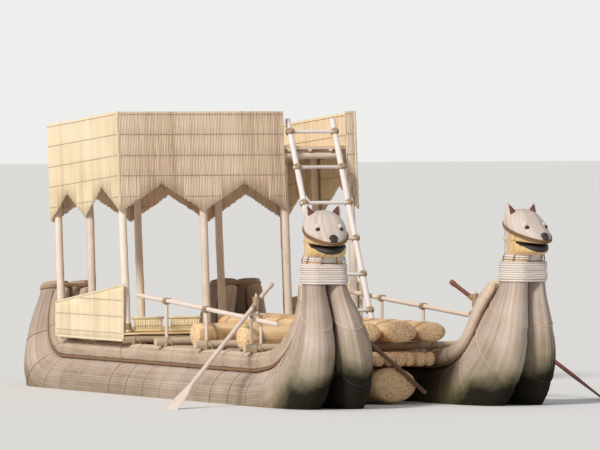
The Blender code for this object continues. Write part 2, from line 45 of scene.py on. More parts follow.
# Hulls: two long reed bundles side by side for each, stalks running the whole length,
# turned up at both ends and swept into tall prows.  Thin rope round each bundle draws it
# in every 43 cm.
MODEL_SHIFT = np.array((0.1273193, 0.0, 0.32))  # from the boat's axes, level with the float line
GAP = 0.0003
HULL_Y = 1.04
HULL_LINE = [
    # Metres: keel_x, keel_h, top_x, top_h, half_width, splay; and the yaw in degrees.
    (-3.60, 1.13, -3.34, 1.18, 0.150, 0.00, 0.0),
    (-3.64, 1.02, -3.38, 1.07, 0.150, 0.00, 0.0),
    (-3.76, 0.74, -3.41, 0.84, 0.185, 0.00, 0.0),
    (-3.85, 0.38, -3.35, 0.60, 0.218, 0.00, 0.0),
    (-3.82, 0.04, -3.21, 0.44, 0.242, 0.00, 0.0),
    (-3.60, -0.23, -3.05, 0.37, 0.250, 0.00, 0.0),
    (-3.25, -0.31, -2.95, 0.35, 0.250, 0.00, 0.0),
    (-2.80, -0.32, -2.80, 0.35, 0.250, 0.00, 0.0),
    (2.05, -0.32, 2.05, 0.35, 0.250, 0.00, 0.0),
    (2.60, -0.30, 2.42, 0.40, 0.250, 0.00, 1.5),
    (3.05, -0.19, 2.72, 0.53, 0.242, 0.01, 4.0),
    (3.42, 0.07, 2.93, 0.73, 0.225, 0.02, 7.0),
    (3.62, 0.42, 3.04, 0.94, 0.200, 0.04, 9.0),
    (3.60, 0.80, 3.08, 1.09, 0.165, 0.07, 10.0),
    (3.50, 1.10, 3.09, 1.19, 0.130, 0.10, 10.0),
    (3.46, 1.25, 3.07, 1.25, 0.110, 0.12, 10.0),
    (3.45, 1.52, 3.06, 1.52, 0.110, 0.13, 10.0),
]
HULL_STEPS = (1, 2, 2, 2, 2, 1, 1, 1, 1, 2, 2, 2, 2, 2, 1, 1)
ROW_SPACING, ROW_SOFTENINGS = 0.062, 3
BEND_CLEAR = 0.003  # more room between two pieces where the bow bends
SIDES = (("starboard", -1), ("port", 1))
OUTER_AND_INNER = (1, -1)
HULL_STALKS, STALK_GROOVE, RIPPLE_SMOOTHINGS = 62, 0.007, 6
FIRST_ROPE, LAST_ROPE_FROM_END, ROPE_SPACING = 0.62, 0.30, 0.43
ROPE_SINKS, WAIST_LENGTH, STALK_END = 0.011, 0.045, 0.017
BOW_STARTS, BOW_ENDS = 2.70, 3.28
# The prows' feet are painted green and black for damp and painted shade; the line rises on the side
# away from the sun as painted shade.
DAMP_AND_SHADE_TOP, SHADE_AND_DAMP_RISE_TO_PORT, DAMP_AND_SHADE_RAGGED = 0.57, 0.32, 0.45
UP = np.array((0.0, 0.0, 1.0))


def unit(v):
    """Directions of vectors."""
    v = np.asarray(v, float)
    return v / np.maximum(np.linalg.norm(v, axis=-1, keepdims=True), 1e-9)


def circle(count):
    """Angles of evenly spaced points on a circle."""
    return np.linspace(0, 2 * np.pi, count, endpoint=False)


def smooth_rows(table, step_counts):
    """Rows between those of the hull's table, on the same curve as the model's."""
    rows = []
    for index, steps in enumerate(step_counts):
        a, b = table[max(index - 1, 0)], table[index]
        c, d = table[index + 1], table[min(index + 2, len(table) - 1)]
        a, b, c, d = (np.array(p) for p in (a, b, c, d))
        for step in range(steps):
            t = step / steps
            rows.append(0.5 * (2 * b + (c - a) * t + (2 * a - 5 * b + 4 * c - d) * t * t
                               + (3 * b - a - 3 * c + d) * t ** 3))
    rows.append(np.array(table[-1]))
    return np.array(rows)


def even_rows(rows, spacing):
    """Rows at even distances along the bundle, with the corners between them eased."""
    middle = np.stack([(rows[:, 0] + rows[:, 2]) / 2, (rows[:, 1] + rows[:, 3]) / 2], -1)
    reach = np.concatenate([[0], np.cumsum(np.linalg.norm(np.diff(middle, axis=0), axis=1))])
    places = np.linspace(0, reach[-1], int(reach[-1] / spacing))
    fine = np.stack([np.interp(places, reach, rows[:, k]) for k in range(rows.shape[1])], -1)
    for _ in range(ROW_SOFTENINGS):
        fine[1:-1] = (fine[:-2] + 2 * fine[1:-1] + fine[2:]) / 4
    return fine, places, reach


def stations(rows, sign, place):
    """Centres, directions and half sizes of one bundle's sections."""
    yaw = np.radians(rows[:, 6]) * sign
    zero = np.zeros(len(rows))
    ahead = np.stack([np.cos(yaw), np.sin(yaw), zero], -1)
    across = np.stack([-np.sin(yaw), np.cos(yaw), zero], -1)
    clear = GAP / 2 + BEND_CLEAR * (rows[:, 6] > 0)
    middle = np.stack([(rows[:, 0] + rows[:, 2]) / 2, sign * (HULL_Y + rows[:, 5]),
                       (rows[:, 1] + rows[:, 3]) / 2], -1)
    middle = middle + across * (sign * place * (rows[:, 4] + clear))[:, None]
    rise = ahead * (rows[:, 2] - rows[:, 0])[:, None]
    rise[:, 2] += rows[:, 3] - rows[:, 1]
    return middle, across, unit(rise), np.linalg.norm(rise, axis=1) / 2, rows[:, 4]


def settle(made, materials, body, nodes):
    """A piece's materials, the body it moves with and the solids it stands for."""
    for material in materials:
        made.data.materials.append(material)
    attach(made, body)
    if nodes:
        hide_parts(*nodes)


class Skin:
    """Rings of points gathered into one mesh, with coordinates along and across in metres.

    A reed bundle swells, bends and turns along its length, and each stalk on it keeps its
    own groove and its own coordinates, so bundles, mats and cords are laid ring by ring."""

    def __init__(self):
        self.points, self.tones, self.count = [], [], 0
        self.faces = {4: [], 3: []}

    def add_faces(self, corners, uv, slot=0):
        slots = np.broadcast_to(slot, corners.shape[:-1]).reshape(-1)
        size = corners.shape[-1]
        self.faces[size].append((corners.reshape(-1, size), uv.reshape(-1, size, 2), slots))

    def add_points(self, points, tone):
        points = np.asarray(points, float)
        self.points.append(points.reshape(-1, 3))
        self.tones.append(np.broadcast_to(tone, points.shape[:-1]).reshape(-1))
        self.count += points.size // 3
        return self.count - points.size // 3

    def net(self, rings, along, across, tone, slot=0, loop=False):
        """Quads between rings; across has one more value than the rings have points."""
        rows, cols = rings.shape[:2]
        first = self.add_points(rings, tone)
        index = np.arange(rows * cols).reshape(rows, cols) + first
        index = np.concatenate([index, index[:, :1]], axis=1)
        if loop:
            index = np.concatenate([index, index[:1]], axis=0)
            along = np.append(along, 2 * along[-1] - along[-2])
        uv = np.stack(np.meshgrid(along, across, indexing="ij"), axis=-1)
        corners = [g[a, b] for g in (index, uv) for a, b in
                   ((slice(-1), slice(-1)), (slice(-1), slice(1, None)),
                    (slice(1, None), slice(1, None)), (slice(1, None), slice(-1)))]
        self.add_faces(np.stack(corners[:4], -1), np.stack(corners[4:], -2), slot)
        return first

    def cap(self, ring, first, slot=0, dome=0.0, tone=0.5):
        """Closes a ring whose first point has that index, with a slightly domed end."""
        centre = ring.mean(axis=0)
        normal = unit(np.cross(ring[1] - ring[0], ring[len(ring) // 3] - ring[0]))
        edge = np.arange(len(ring)) + first
        spot = np.stack([np.cos(circle(len(ring))), np.sin(circle(len(ring)))], -1)
        for share in (0.66, 0.33):
            start = self.add_points(centre + (ring - centre) * share
                                    + normal * dome * (1 - share * share), tone)
            here = np.arange(len(ring)) + start
            self.add_faces(np.stack([edge, np.roll(edge, -1), np.roll(here, -1), here], -1),
                           np.stack([spot, np.roll(spot, -1, 0), np.roll(spot, -1, 0) * share,
                                     spot * share], 1), slot)
            edge = here
        middle = self.add_points((centre + normal * dome)[None], tone)
        self.add_faces(np.stack([edge, np.roll(edge, -1), np.full(len(ring), middle)], -1),
                       np.zeros((len(ring), 3, 2)), slot)

    def write(self, name, materials, finish, body="boat", nodes=()):
        """Makes the gathered mesh a piece, with its faces turned outwards."""
        mesh = bpy.data.meshes.new(name)
        points = np.concatenate(self.points) + MODEL_SHIFT
        mesh.vertices.add(len(points))
        mesh.vertices.foreach_set("co", points.ravel())
        parts = [part for size in (4, 3) for part in self.faces[size]]
        sizes = np.concatenate([np.full(len(corners), corners.shape[1])
                                for corners, uv, slots in parts])
        mesh.loops.add(int(sizes.sum()))
        mesh.loops.foreach_set("vertex_index", np.concatenate([p[0].ravel() for p in parts]))
        mesh.polygons.add(len(sizes))
        mesh.polygons.foreach_set("loop_start", np.concatenate([[0], np.cumsum(sizes)[:-1]]))
        mesh.polygons.foreach_set("material_index", np.concatenate([p[2] for p in parts]))
        mesh.polygons.foreach_set("use_smooth", np.ones(len(sizes), bool))
        mesh.update(calc_edges=True)
        layer = mesh.uv_layers.new(name="UVMap")
        layer.data.foreach_set("uv", np.concatenate([p[1].ravel() for p in parts]))
        tones = mesh.attributes.new("tone", "FLOAT", "POINT")
        tones.data.foreach_set("value", np.concatenate(self.tones).astype(np.float32))
        mesh.validate()
        edited = bmesh.new()
        edited.from_mesh(mesh)
        bmesh.ops.recalc_face_normals(edited, faces=edited.faces)
        edited.to_mesh(mesh)
        edited.free()
        made = bpy.data.objects.new(name, mesh)
        scene.collection.objects.link(made)
        settle(made, materials, body, nodes)


def ripples(rows, cols, size):
    """Slow random swelling along and across the stalks."""
    field = rng.normal(0, 1, (rows, cols))
    for _ in range(RIPPLE_SMOOTHINGS):
        field = (field + np.roll(field, 1, 0) + np.roll(field, -1, 0)) / 3
    return field / max(field.std(), 1e-6) * size


def bundle(skin, centre, across, upward, half_width, half_height, places, stalks, groove,
           ropes, pinch, dome=0.02):
    """Reed bundle over oval sections: a crown and a groove for each stalk, and a waist
    under each rope.  Its cut ends take the second material."""
    rows, cols = len(centre), stalks * 2
    turn = circle(cols)
    inset = np.zeros((rows, cols))
    inset[:, 1::2] += groove
    inset[:, ::2] += np.abs(ripples(rows, stalks, groove * 0.35))
    for place in ropes:
        inset += (pinch * np.exp(-((places - place) / WAIST_LENGTH) ** 2))[:, None]
    rings = (centre[:, None] + across[:, None] * ((half_width[:, None] - inset)
                                                  * np.cos(turn))[..., None]
             + upward[:, None] * ((half_height[:, None] - inset) * np.sin(turn))[..., None])
    broad = np.repeat(rng.uniform(0, 1, (stalks + 3) // 4), 4)[:stalks]
    tones = 0.45 * rng.uniform(0, 1, stalks) + 0.55 * broad
    # The groove between two stalks takes a darker tone, painted shade in the crease.
    tone = np.stack([tones, (tones + np.roll(tones, -1)) / 2 - 0.35], -1).reshape(-1)
    girth = 2 * np.pi * np.sqrt((half_width.mean() ** 2 + half_height.mean() ** 2) / 2)
    first = skin.net(rings, places, np.linspace(0, girth, cols + 1), np.clip(tone, 0, 1))
    skin.cap(rings[0], first, 1, -dome)
    skin.cap(rings[-1], first + (rows - 1) * cols, 1, dome)


class Value:
    """One output of a node.  Sums with numbers and other values add their Math nodes."""

    def __init__(self, nodes, socket):
        self.nodes, self.socket = nodes, socket

    def __getitem__(self, name):
        return Value(self.nodes, self.socket.node.outputs[name])

    def __add__(self, other):
        return self.nodes.maths("ADD", self, other)

    def __sub__(self, other):
        return self.nodes.maths("SUBTRACT", self, other)

    def __mul__(self, other):
        return self.nodes.maths("MULTIPLY", self, other)

    def __rsub__(self, other):
        return self.nodes.maths("SUBTRACT", other, self)

    __radd__, __rmul__ = __add__, __mul__


class Nodes:
    """The nodes of one material, or of the world."""

    def __init__(self, owner):
        owner.use_nodes = True
        self.tree = owner.node_tree

    def add(self, kind, settings=(), sockets=(), output=0):
        """A node of that type: its settings first, then its sockets' values or links."""
        made = self.tree.nodes.new(kind)
        for key, value in dict(settings).items():
            if key == "stops":
                while len(made.color_ramp.elements) < len(value):
                    made.color_ramp.elements.new(1.0)
                for element, (place, colour) in zip(made.color_ramp.elements, value):
                    element.position, element.color = place, (*colour, 1)
            else:
                setattr(made, key, value)
        for key, value in dict(sockets).items():
            self.feed(made.inputs[key], value)
        return Value(self, made.outputs[output])

    def feed(self, socket, value):
        if isinstance(value, Value):
            self.tree.links.new(value.socket, socket)
        else:
            socket.default_value = (*value, 1) if socket.type == "RGBA" else value

    def maths(self, operation, a, b=0.0, clamp=False):
        return self.add("ShaderNodeMath", {"operation": operation, "use_clamp": clamp},
                        {0: a, 1: b})

    def limited(self, value):
        return self.maths("ADD", value, 0.0, True)

    def ranged(self, value, near, far, at_near, at_far):
        """Straight change of a value between two limits."""
        return self.add("ShaderNodeMapRange", sockets={
            "Value": value, "From Min": near, "From Max": far, "To Min": at_near,
            "To Max": at_far})

    def blend(self, factor, a, b, kind="MIX"):
        return self.add("ShaderNodeMix", {"data_type": "RGBA", "blend_type": kind},
                        {0: factor, 6: a, 7: b}, 2)

    def noise(self, source, scale, detail, stretch=(1, 1, 1), roughness=0.55):
        place = self.add("ShaderNodeMapping", sockets={"Vector": source, "Scale": stretch})
        return self.add("ShaderNodeTexNoise", sockets={
            "Vector": place, "Scale": scale, "Detail": detail, "Roughness": roughness})

    def surface(self, colour, roughness, relief, strength, distance, gloss=0.5):
        """Colour, roughness and relief over the surface; its gloss is the same all over."""
        normal = self.add("ShaderNodeBump", sockets={"Height": relief, "Strength": strength,
                                                     "Distance": distance})
        for key, value in (("Base Color", colour), ("Roughness", roughness),
                           ("Normal", normal), ("Specular IOR Level", gloss)):
            self.feed(self.tree.nodes["Principled BSDF"].inputs[key], value)


def damp_and_painted_shade(nodes, place, patch, colour):
    """Darker low on the hulls, painted shade nearly black on their inner sides, and the prows'
    feet green and black: damp and painted shade, higher as painted shade away from the sun."""
    spot = nodes.add("ShaderNodeSeparateXYZ", sockets={0: place})
    x, y, z = spot["X"], spot["Y"], spot["Z"]
    from_middle = nodes.maths("ABSOLUTE", y)
    bow = nodes.ranged(x, BOW_STARTS, BOW_ENDS, 0.0, 1.0)
    # Painted shade: the damp line rises on the side of each hull away from the sun.
    shady = nodes.maths("SIGN", y) * (from_middle - 1.1) * SHADE_AND_DAMP_RISE_TO_PORT
    edge = z - bow * (shady + DAMP_AND_SHADE_TOP) + (patch - 0.5) * DAMP_AND_SHADE_RAGGED
    colour = nodes.blend(nodes.ranged(z, 0.40, 0.68, 0.60, 0.0), colour, (0.68, 0.60, 0.58),
                         "MULTIPLY")
    # Painted shade: the hulls' inner sides, under the deck and beside the float, go nearly black.
    inner = (nodes.ranged(from_middle, 0.88, 0.72, 0.0, 1.0)
             * nodes.ranged(z, 0.95, 0.72, 0.0, 0.94) * nodes.ranged(x, 3.12, 2.85, 0.0, 1.0))
    colour = nodes.blend(inner, colour, (0.030, 0.020, 0.012))
    colour = nodes.blend(nodes.ranged(edge, 0.04, 0.60, 0.74, 0.0), colour, (0.15, 0.14, 0.05))
    # Black at the prows' feet: wet reed and painted shade together.
    soak_and_shade = nodes.ranged(edge, 0.02, 0.24, 0.98, 0.0)
    return nodes.blend(soak_and_shade, colour, (0.014, 0.011, 0.007)), soak_and_shade


def reed(name, deep, middle, pale, stalk=0.012, damp_and_shade=False):
    """Dry reed: fibres along the stalk and spots of wear, from each stalk's own tone."""
    material = bpy.data.materials.new(name)
    nodes = Nodes(material)
    place = nodes.add("ShaderNodeTexCoord")
    uv, where = place["UV"], place["Object"]
    tone = nodes.add("ShaderNodeAttribute", {"attribute_name": "tone"})["Fac"]
    streak = nodes.noise(uv, 1.0, 4, (1.6, 1 / stalk * 0.6, 1))
    fibre = nodes.noise(uv, 1.0, 5, (9, 6 / stalk, 1), 0.7)
    patch = nodes.noise(where, 1.6, 4)
    shade = nodes.limited(tone * 0.55 + streak * 0.45 + (patch - 0.5) * 0.7)
    colour = nodes.add("ShaderNodeValToRGB", {"stops": [(0.12, deep), (0.48, middle),
                                                        (0.85, pale)]}, {"Fac": shade})
    colour = nodes.blend(fibre * 0.35, colour, tuple(c * 0.55 for c in middle))
    roughness = streak * 0.25 + 0.62
    # Damp, and painted shade, low on the hulls and at the prows' feet.
    if damp_and_shade:
        colour, soak_and_shade = damp_and_painted_shade(nodes, where, patch, colour)
        roughness = soak_and_shade * 0.1 + 0.8
    across = nodes.add("ShaderNodeSeparateXYZ", sockets={0: uv})["Y"]
    stripes = nodes.maths("SINE", across * (2 * math.pi / stalk))
    nodes.surface(colour, roughness, stripes * 0.35 + fibre, 0.55, 0.004, 0.15 if damp_and_shade else 0.5)
    return material


def cut_ends(name, rim, core, gap_shade):
    """Cut end of a bundle: hundreds of stalk ends side by side, with painted shade in the gaps
    between them.
    """
    material = bpy.data.materials.new(name)
    nodes = Nodes(material)
    where = nodes.add("ShaderNodeTexCoord")["Object"]
    cells = nodes.add("ShaderNodeTexVoronoi", sockets={"Vector": where, "Scale": 1 / STALK_END,
                                                       "Randomness": 0.75})
    # Painted shade: the gaps between the stalk ends take the darkest colour.
    edge = nodes.ranged(cells["Distance"], 0.42, 0.78, 0.0, 1.0)
    patch = nodes.noise(where, 9.0, 4)
    nodes.surface(nodes.blend(edge, nodes.blend(patch, rim, core), gap_shade), patch * 0.25 + 0.68,
                  1 - edge, 0.8, 0.006)
    return material


HULL_REED = reed("hull_reed", (0.36, 0.255, 0.195), (0.635, 0.51, 0.425), (0.87, 0.76, 0.68),
                 0.016, damp_and_shade=True)
# The last colour is painted shade between the stalk ends.
ENDS = cut_ends("cut_ends", (1.00, 0.76, 0.47), (0.99, 0.66, 0.37), (0.62, 0.38, 0.20))
hull_rows = smooth_rows(HULL_LINE, HULL_STEPS)
rows, places, reach = even_rows(hull_rows, ROW_SPACING)
rope_places = np.arange(FIRST_ROPE, places[-1] - LAST_ROPE_FROM_END, ROPE_SPACING)
for side, sign in SIDES:
    hull = Skin()
    for place in OUTER_AND_INNER:
        centre, across, upward, half_height, half_width = stations(rows, sign, place)
        bundle(hull, centre, across, upward, half_width, half_height, places, HULL_STALKS,
               STALK_GROOVE, rope_places, ROPE_SINKS)
    hull.write(f"reed_hull_{side}", [HULL_REED, ENDS], "reed",
               nodes=(f"hull_{side}_outer", f"hull_{side}_inner"))

# Rolls: a thin reed bundle along the crest of each hull bundle, from the stern's curl to
# the prow, sewn down on both sides with a thick brown rope in the crease.
ROLL_R = 0.10
ROLL_STALKS, ROLL_GROOVE, ROLL_ROPE_SINKS = 20, 0.005, 0.008
ROLL_END_SHARES = np.array((0.80, 0.92, 0.98))  # of the radius, at the rows next to each end
SEAM_OUT, SEAM_SINKS = 0.068, 0.006
SEAM_R, SEAM_TIP_R = 0.016, 0.005


def frame_of(path):
    """Two directions across a path at each of its points, turned as little as possible."""
    forward = unit(np.gradient(path, axis=0))
    first = UP if abs(forward[0][2]) < 0.9 else np.array((1.0, 0.0, 0.0))
    side = unit(np.cross(first, forward[0]))
    sides = []
    for f in forward:
        side = unit(side - f * np.dot(side, f))
        sides.append(side)
    return np.array(sides), np.cross(forward, sides)


def tube(skin, path, radius, sides, tone, loop=False):
    """Round tube along a path; the radius is one number or one for each point."""
    path = np.asarray(path, float)
    radius = np.broadcast_to(np.asarray(radius, float), len(path))
    if loop:
        forward = unit(np.roll(path, -1, 0) - np.roll(path, 1, 0))
        side = unit(path - path.mean(axis=0))
        side = unit(side - forward * np.sum(side * forward, axis=1, keepdims=True))
        up = np.cross(forward, side)
    else:
        side, up = frame_of(path)
    rings = (path[:, None] + side[:, None] * (radius[:, None] * np.cos(circle(sides)))[..., None]
             + up[:, None] * (radius[:, None] * np.sin(circle(sides)))[..., None])
    step = np.linalg.norm(np.diff(path, axis=0), axis=1)
    along = np.concatenate([[0], np.cumsum(step)]) + rng.uniform(0, 3)
    first = skin.net(rings, along, np.linspace(0, 2 * np.pi * radius.mean(), sides + 1), tone,
                     loop=loop)
    if not loop:
        skin.cap(rings[0], first, 0, -radius[0] * 0.3, tone)
        skin.cap(rings[-1], first + (len(path) - 1) * sides, 0, radius[-1] * 0.3, tone)


def rope(name, dark, pale, pitch=0.03, damp_and_shade=False):
    """Twisted grass rope: strands lie across the cord at a slant."""
    material = bpy.data.materials.new(name)
    nodes = Nodes(material)
    place = nodes.add("ShaderNodeTexCoord")
    where = place["Object"]
    spot = nodes.add("ShaderNodeSeparateXYZ", sockets={0: place["UV"]})
    tone = nodes.add("ShaderNodeAttribute", {"attribute_name": "tone"})["Fac"]
    # The grooves between the strands are darker, painted shade that follows the relief.
    strand = nodes.maths("SINE", spot["X"] * (2 * math.pi / pitch) + spot["Y"] * 420.0) * 0.5 + 0.5
    fuzz = nodes.noise(where, 240.0, 3)
    shade = nodes.limited(strand * 0.45 + fuzz * 0.3 + tone * 0.3)
    colour = nodes.add("ShaderNodeValToRGB", {"stops": [(0.1, dark), (0.85, pale)]}, {"Fac": shade})
    # The hull cords take the same damp and painted shade.
    if damp_and_shade:
        colour = damp_and_painted_shade(nodes, where, nodes.noise(where, 1.6, 4), colour)[0]
    nodes.surface(colour, fuzz * 0.15 + 0.78, strand + fuzz * 0.4, 0.7, 0.003)
    return material


def crest_of(rows, sign, place):
    """Middle line and directions of the roll on one bundle."""
    centre, across, upward, half_height, _ = stations(rows, sign, place)
    clear = np.where(rows[:, 6] > 0, BEND_CLEAR, GAP)
    return centre + upward * (half_height + clear + ROLL_R)[:, None], across, upward


ROLL_REED = reed("roll_reed", (0.40, 0.28, 0.20), (0.71, 0.55, 0.42), (0.88, 0.75, 0.61), 0.014)
BROWN_CORD = rope("brown_cord", (0.11, 0.055, 0.028), (0.36, 0.21, 0.11))
on_crest = (places > reach[1]) & (places < reach[-2] + 0.02)
for side, sign in SIDES:
    roll, sewing = Skin(), Skin()
    for place in OUTER_AND_INNER:
        crest, across, upward = (v[on_crest] for v in crest_of(rows, sign, place))
        size = np.full(len(crest), ROLL_R)
        size[:3] *= ROLL_END_SHARES
        size[-3:] *= ROLL_END_SHARES[::-1]
        bundle(roll, crest, across, upward, size, size, places[on_crest], ROLL_STALKS,
               ROLL_GROOVE, rope_places, ROLL_ROPE_SINKS)
        for hand in (-1, 1):
            seam = crest + across * (SEAM_OUT * hand) - upward * (ROLL_R - SEAM_SINKS)
            size = np.interp(np.linspace(0, 1, len(seam)), (0, 0.03, 0.97, 1),
                             (SEAM_TIP_R, SEAM_R, SEAM_R, SEAM_TIP_R))
            tube(sewing, seam, size, 7, 0.4)
    roll.write(f"reed_roll_{side}", [ROLL_REED, ENDS], "reed",
               nodes=(f"roll_{side}_outer", f"roll_{side}_inner"))
    sewing.write(f"roll_seams_{side}", [BROWN_CORD], "rope")

# Hull cords: thin grass rope tied round each hull bundle, and round each roll, in the
# waist that it makes in the reed.
STRAW = ((0.38, 0.27, 0.18), (0.78, 0.64, 0.48))
HULL_CORD = rope("hull_cord", *STRAW, damp_and_shade=True)
HULL_CORD_R, HULL_CORD_SINKS = 0.007, 0.006
ROLL_CORD_R, ROLL_CORD_SINKS = 0.006, 0.004
for side, sign in SIDES:
    cords = Skin()
    for place in OUTER_AND_INNER:
        centre, across, upward, half_height, half_width = stations(rows, sign, place)
        crest = crest_of(rows, sign, place)[0]
        for index in np.searchsorted(places, rope_places):
            rounds = [(centre, half_width[index] - HULL_CORD_SINKS,
                       half_height[index] - HULL_CORD_SINKS, HULL_CORD_R, 44)]
            if on_crest[index]:
                size = ROLL_R - ROLL_CORD_SINKS
                rounds.append((crest, size, size, ROLL_CORD_R, 22))
            for middle, w, h, size, steps in rounds:
                turn = circle(steps)
                tube(cords, middle[index] + across[index] * (w * np.cos(turn))[:, None]
                     + upward[index] * (h * np.sin(turn))[:, None], size, 5,
                     rng.uniform(0.2, 0.8), loop=True)
    cords.write(f"hull_cords_{side}", [HULL_CORD], "rope")

# Collars and stern ties: turns of rope laid round both bundles of a hull at once, thick
# pale rope under the head and three thin turns at the stern's tip.
COLLAR_TURNS = [
    # share of the collar's height, how far out, rope radius
    (0.24, 0.010, 0.012), (0.33, 0.016, 0.013), (0.42, 0.017, 0.013), (0.51, 0.014, 0.013),
    (0.60, 0.006, 0.011), (0.68, 0.011, 0.012), (0.77, 0.012, 0.012), (0.86, 0.012, 0.012),
    (0.94, 0.010, 0.011),
]
TIE_TURNS = [(0.33, 0.010, 0.009), (0.46, 0.011, 0.009), (0.58, 0.010, 0.009)]


def pair_loop(row_low, row_high, share, sign, extra):
    """Path round both bundles of a hull, between two rows of its line."""
    row = np.array([row_low * (1 - share) + row_high * share])
    turn = np.linspace(-np.pi / 2, np.pi / 2, 22)
    points = []
    for place in OUTER_AND_INNER:
        centre, across, upward, half_height, half_width = (v[0] for v in
                                                           stations(row, sign, place))
        arc = (centre + across * sign * place * ((half_width + extra) * np.cos(turn))[:, None]
               + upward * ((half_height + extra) * np.sin(turn))[:, None])
        points.append(arc if place > 0 else arc[::-1])
    return np.concatenate(points)


GRASS_ROPE = rope("grass_rope", (0.25, 0.15, 0.08), (0.64, 0.47, 0.31))
PALE_ROPE = rope("collar_rope", (0.56, 0.45, 0.37), (0.92, 0.84, 0.77), 0.05)
for side, sign in SIDES:
    collar, tie = Skin(), Skin()
    for share, out, size in COLLAR_TURNS:
        tube(collar, pair_loop(hull_rows[-2], hull_rows[-1], share, sign, out), size, 7,
             rng.uniform(0.3, 1), loop=True)
    for share, out, size in TIE_TURNS:
        tube(tie, pair_loop(hull_rows[0], hull_rows[1], share, sign, out), size, 6,
             rng.uniform(0.3, 1), loop=True)
    collar.write(f"rope_collar_{side}", [PALE_ROPE], "rope", nodes=(f"collar_{side}",))
    tie.write(f"rope_tie_{side}", [GRASS_ROPE], "rope", nodes=(f"stern_tie_{side}",))

# Heads: a short upright reed bundle on each prow, shaped to an animal's head with a bound
# muzzle, small ears and a band over the brow.  Below the band the reed is golden.
HEAD_TABLE = np.array([
    # height, forward, half_depth, half_width, droop
    (0.000, 0.000, 0.195, 0.203, 0.00),
    (0.055, 0.005, 0.200, 0.207, 0.04),
    (0.100, 0.045, 0.245, 0.210, 0.08),
    (0.130, 0.068, 0.268, 0.212, 0.11),
    (0.175, 0.072, 0.272, 0.214, 0.13),
    (0.200, 0.062, 0.264, 0.215, 0.14),
    (0.210, 0.022, 0.226, 0.215, 0.14),
    (0.228, 0.024, 0.228, 0.216, 0.14),
    (0.238, 0.082, 0.286, 0.217, 0.15),
    (0.285, 0.102, 0.308, 0.220, 0.17),
    (0.335, 0.088, 0.296, 0.222, 0.18),
    (0.390, 0.036, 0.240, 0.221, 0.14),
    (0.440, 0.006, 0.200, 0.207, 0.06),
    (0.490, -0.006, 0.155, 0.169, 0.02),
    (0.525, -0.012, 0.105, 0.117, 0.00),
    (0.542, -0.015, 0.055, 0.061, 0.00),
])
HEAD_TOP, HEAD_COLS = 0.542, 96
JAW_LOW, JAW_ANGLE = 0.075, 100
MOUTH_LOW, MOUTH_HIGH, ABOVE_MOUTH, MOUTH_ANGLE = 0.190, 0.235, 0.250, 67
LIP_LOW, LIP_TOP, LIP_CORNERS_RISE, LIP_ANGLE = 0.128, 0.207, 0.076, 62
LIP_OUT, LIP_DEEP, LIP_COLS, LIP_ROWS = 0.003, -0.014, 41, 8
MUZZLE_STARTS, MUZZLE_NARROWS = 0.16, 0.9
# Feet and tips of ears and tufts: across, up and ahead from the middle of the head's foot.
EAR_FOOT, EAR_TIP, EAR_BOW = (0.108, 0.40, -0.04), (0.170, 0.61, -0.045), 0.012
TUFT_FOOT, TUFT_TIP = (0.112, 0.46, -0.006), (0.163, 0.585, -0.026)
# Shares of their length, and the radius there.
EAR_SHAPE = ((0, 0.35, 0.7, 1), (0.060, 0.055, 0.036, 0.012))
TUFT_SHAPE = ((0, 0.4, 1), (0.036, 0.043, 0.01))
# Height, angle from straight ahead, how far in and out, radius, roundness, sides, tone.
EYELID = (0.395, 40, -0.028, 0.008, 0.040, 1.02, 14, 0.95)
EYEBALL = (0.385, 38, 0.0, 0.016, 0.026, 1.03, 12, 0.2)
NOSE_ROLLS = ((0.325, 0.034, 15), (0.298, 0.030, 12), (0.262, 0.016, 5))  # height, radius, angle
NOSE_ARCHES, NOSE_OUT = 0.010, -0.008
BAND_CORDS, BAND_OUT = ((0.0, 0.011), (0.022, 0.009)), 0.004  # height over the band, radius
STITCH_ANGLES = range(-110, 111, 44)
STITCH_BELOW, STITCH_TOP, STITCH_R, STITCH_BOWS = 0.03, 0.075, 0.006, 0.014
NECK_ROPE_HEIGHTS, NECK_ROPE_R = (0.030, 0.054), 0.011


def band_height(angle):
    """The band over the brow is lower in front and rises to the back."""
    return 0.375 - 0.059 * (1 + np.cos(np.radians(angle)))


def wood(name, dark, middle, pale, rough=0.7):
    """Bare weathered wood: long grain, small checks and dull patches."""
    material = bpy.data.materials.new(name)
    nodes = Nodes(material)
    place = nodes.add("ShaderNodeTexCoord")
    tone = nodes.add("ShaderNodeAttribute", {"attribute_name": "tone"})["Fac"]
    grain = nodes.noise(place["UV"], 1.0, 5, (5, 90, 1), 0.65)
    checks = nodes.noise(place["UV"], 1.0, 3, (3.5, 240, 1), 0.5)
    patch = nodes.noise(place["Object"], 5.0, 4)
    shade = nodes.limited(tone * 0.35 + grain * 0.35 + patch * 0.35)
    colour = nodes.add("ShaderNodeValToRGB", {"stops": [(0.25, dark), (0.5, middle),
                                                        (0.8, pale)]}, {"Fac": shade})
    crack = nodes.ranged(checks, 0.66, 0.74, 0.0, 0.55)
    nodes.surface(nodes.blend(crack, colour, tuple(c * 0.35 for c in dark)),
                  patch * 0.25 + (rough - 0.12), grain - crack, 0.5, 0.003)
    return material


HEAD_REED = reed("head_reed", (0.42, 0.31, 0.24), (0.70, 0.58, 0.50), (0.84, 0.74, 0.66))
JAW_REED = reed("jaw_reed", (0.48, 0.27, 0.10), (0.80, 0.53, 0.24), (0.90, 0.68, 0.38))
DARK = wood("dark_marks", (0.012, 0.009, 0.008), (0.03, 0.02, 0.016), (0.07, 0.045, 0.035), 0.6)
TUFT = wood("red_tuft", (0.05, 0.018, 0.012), (0.13, 0.045, 0.03), (0.24, 0.10, 0.06), 0.8)
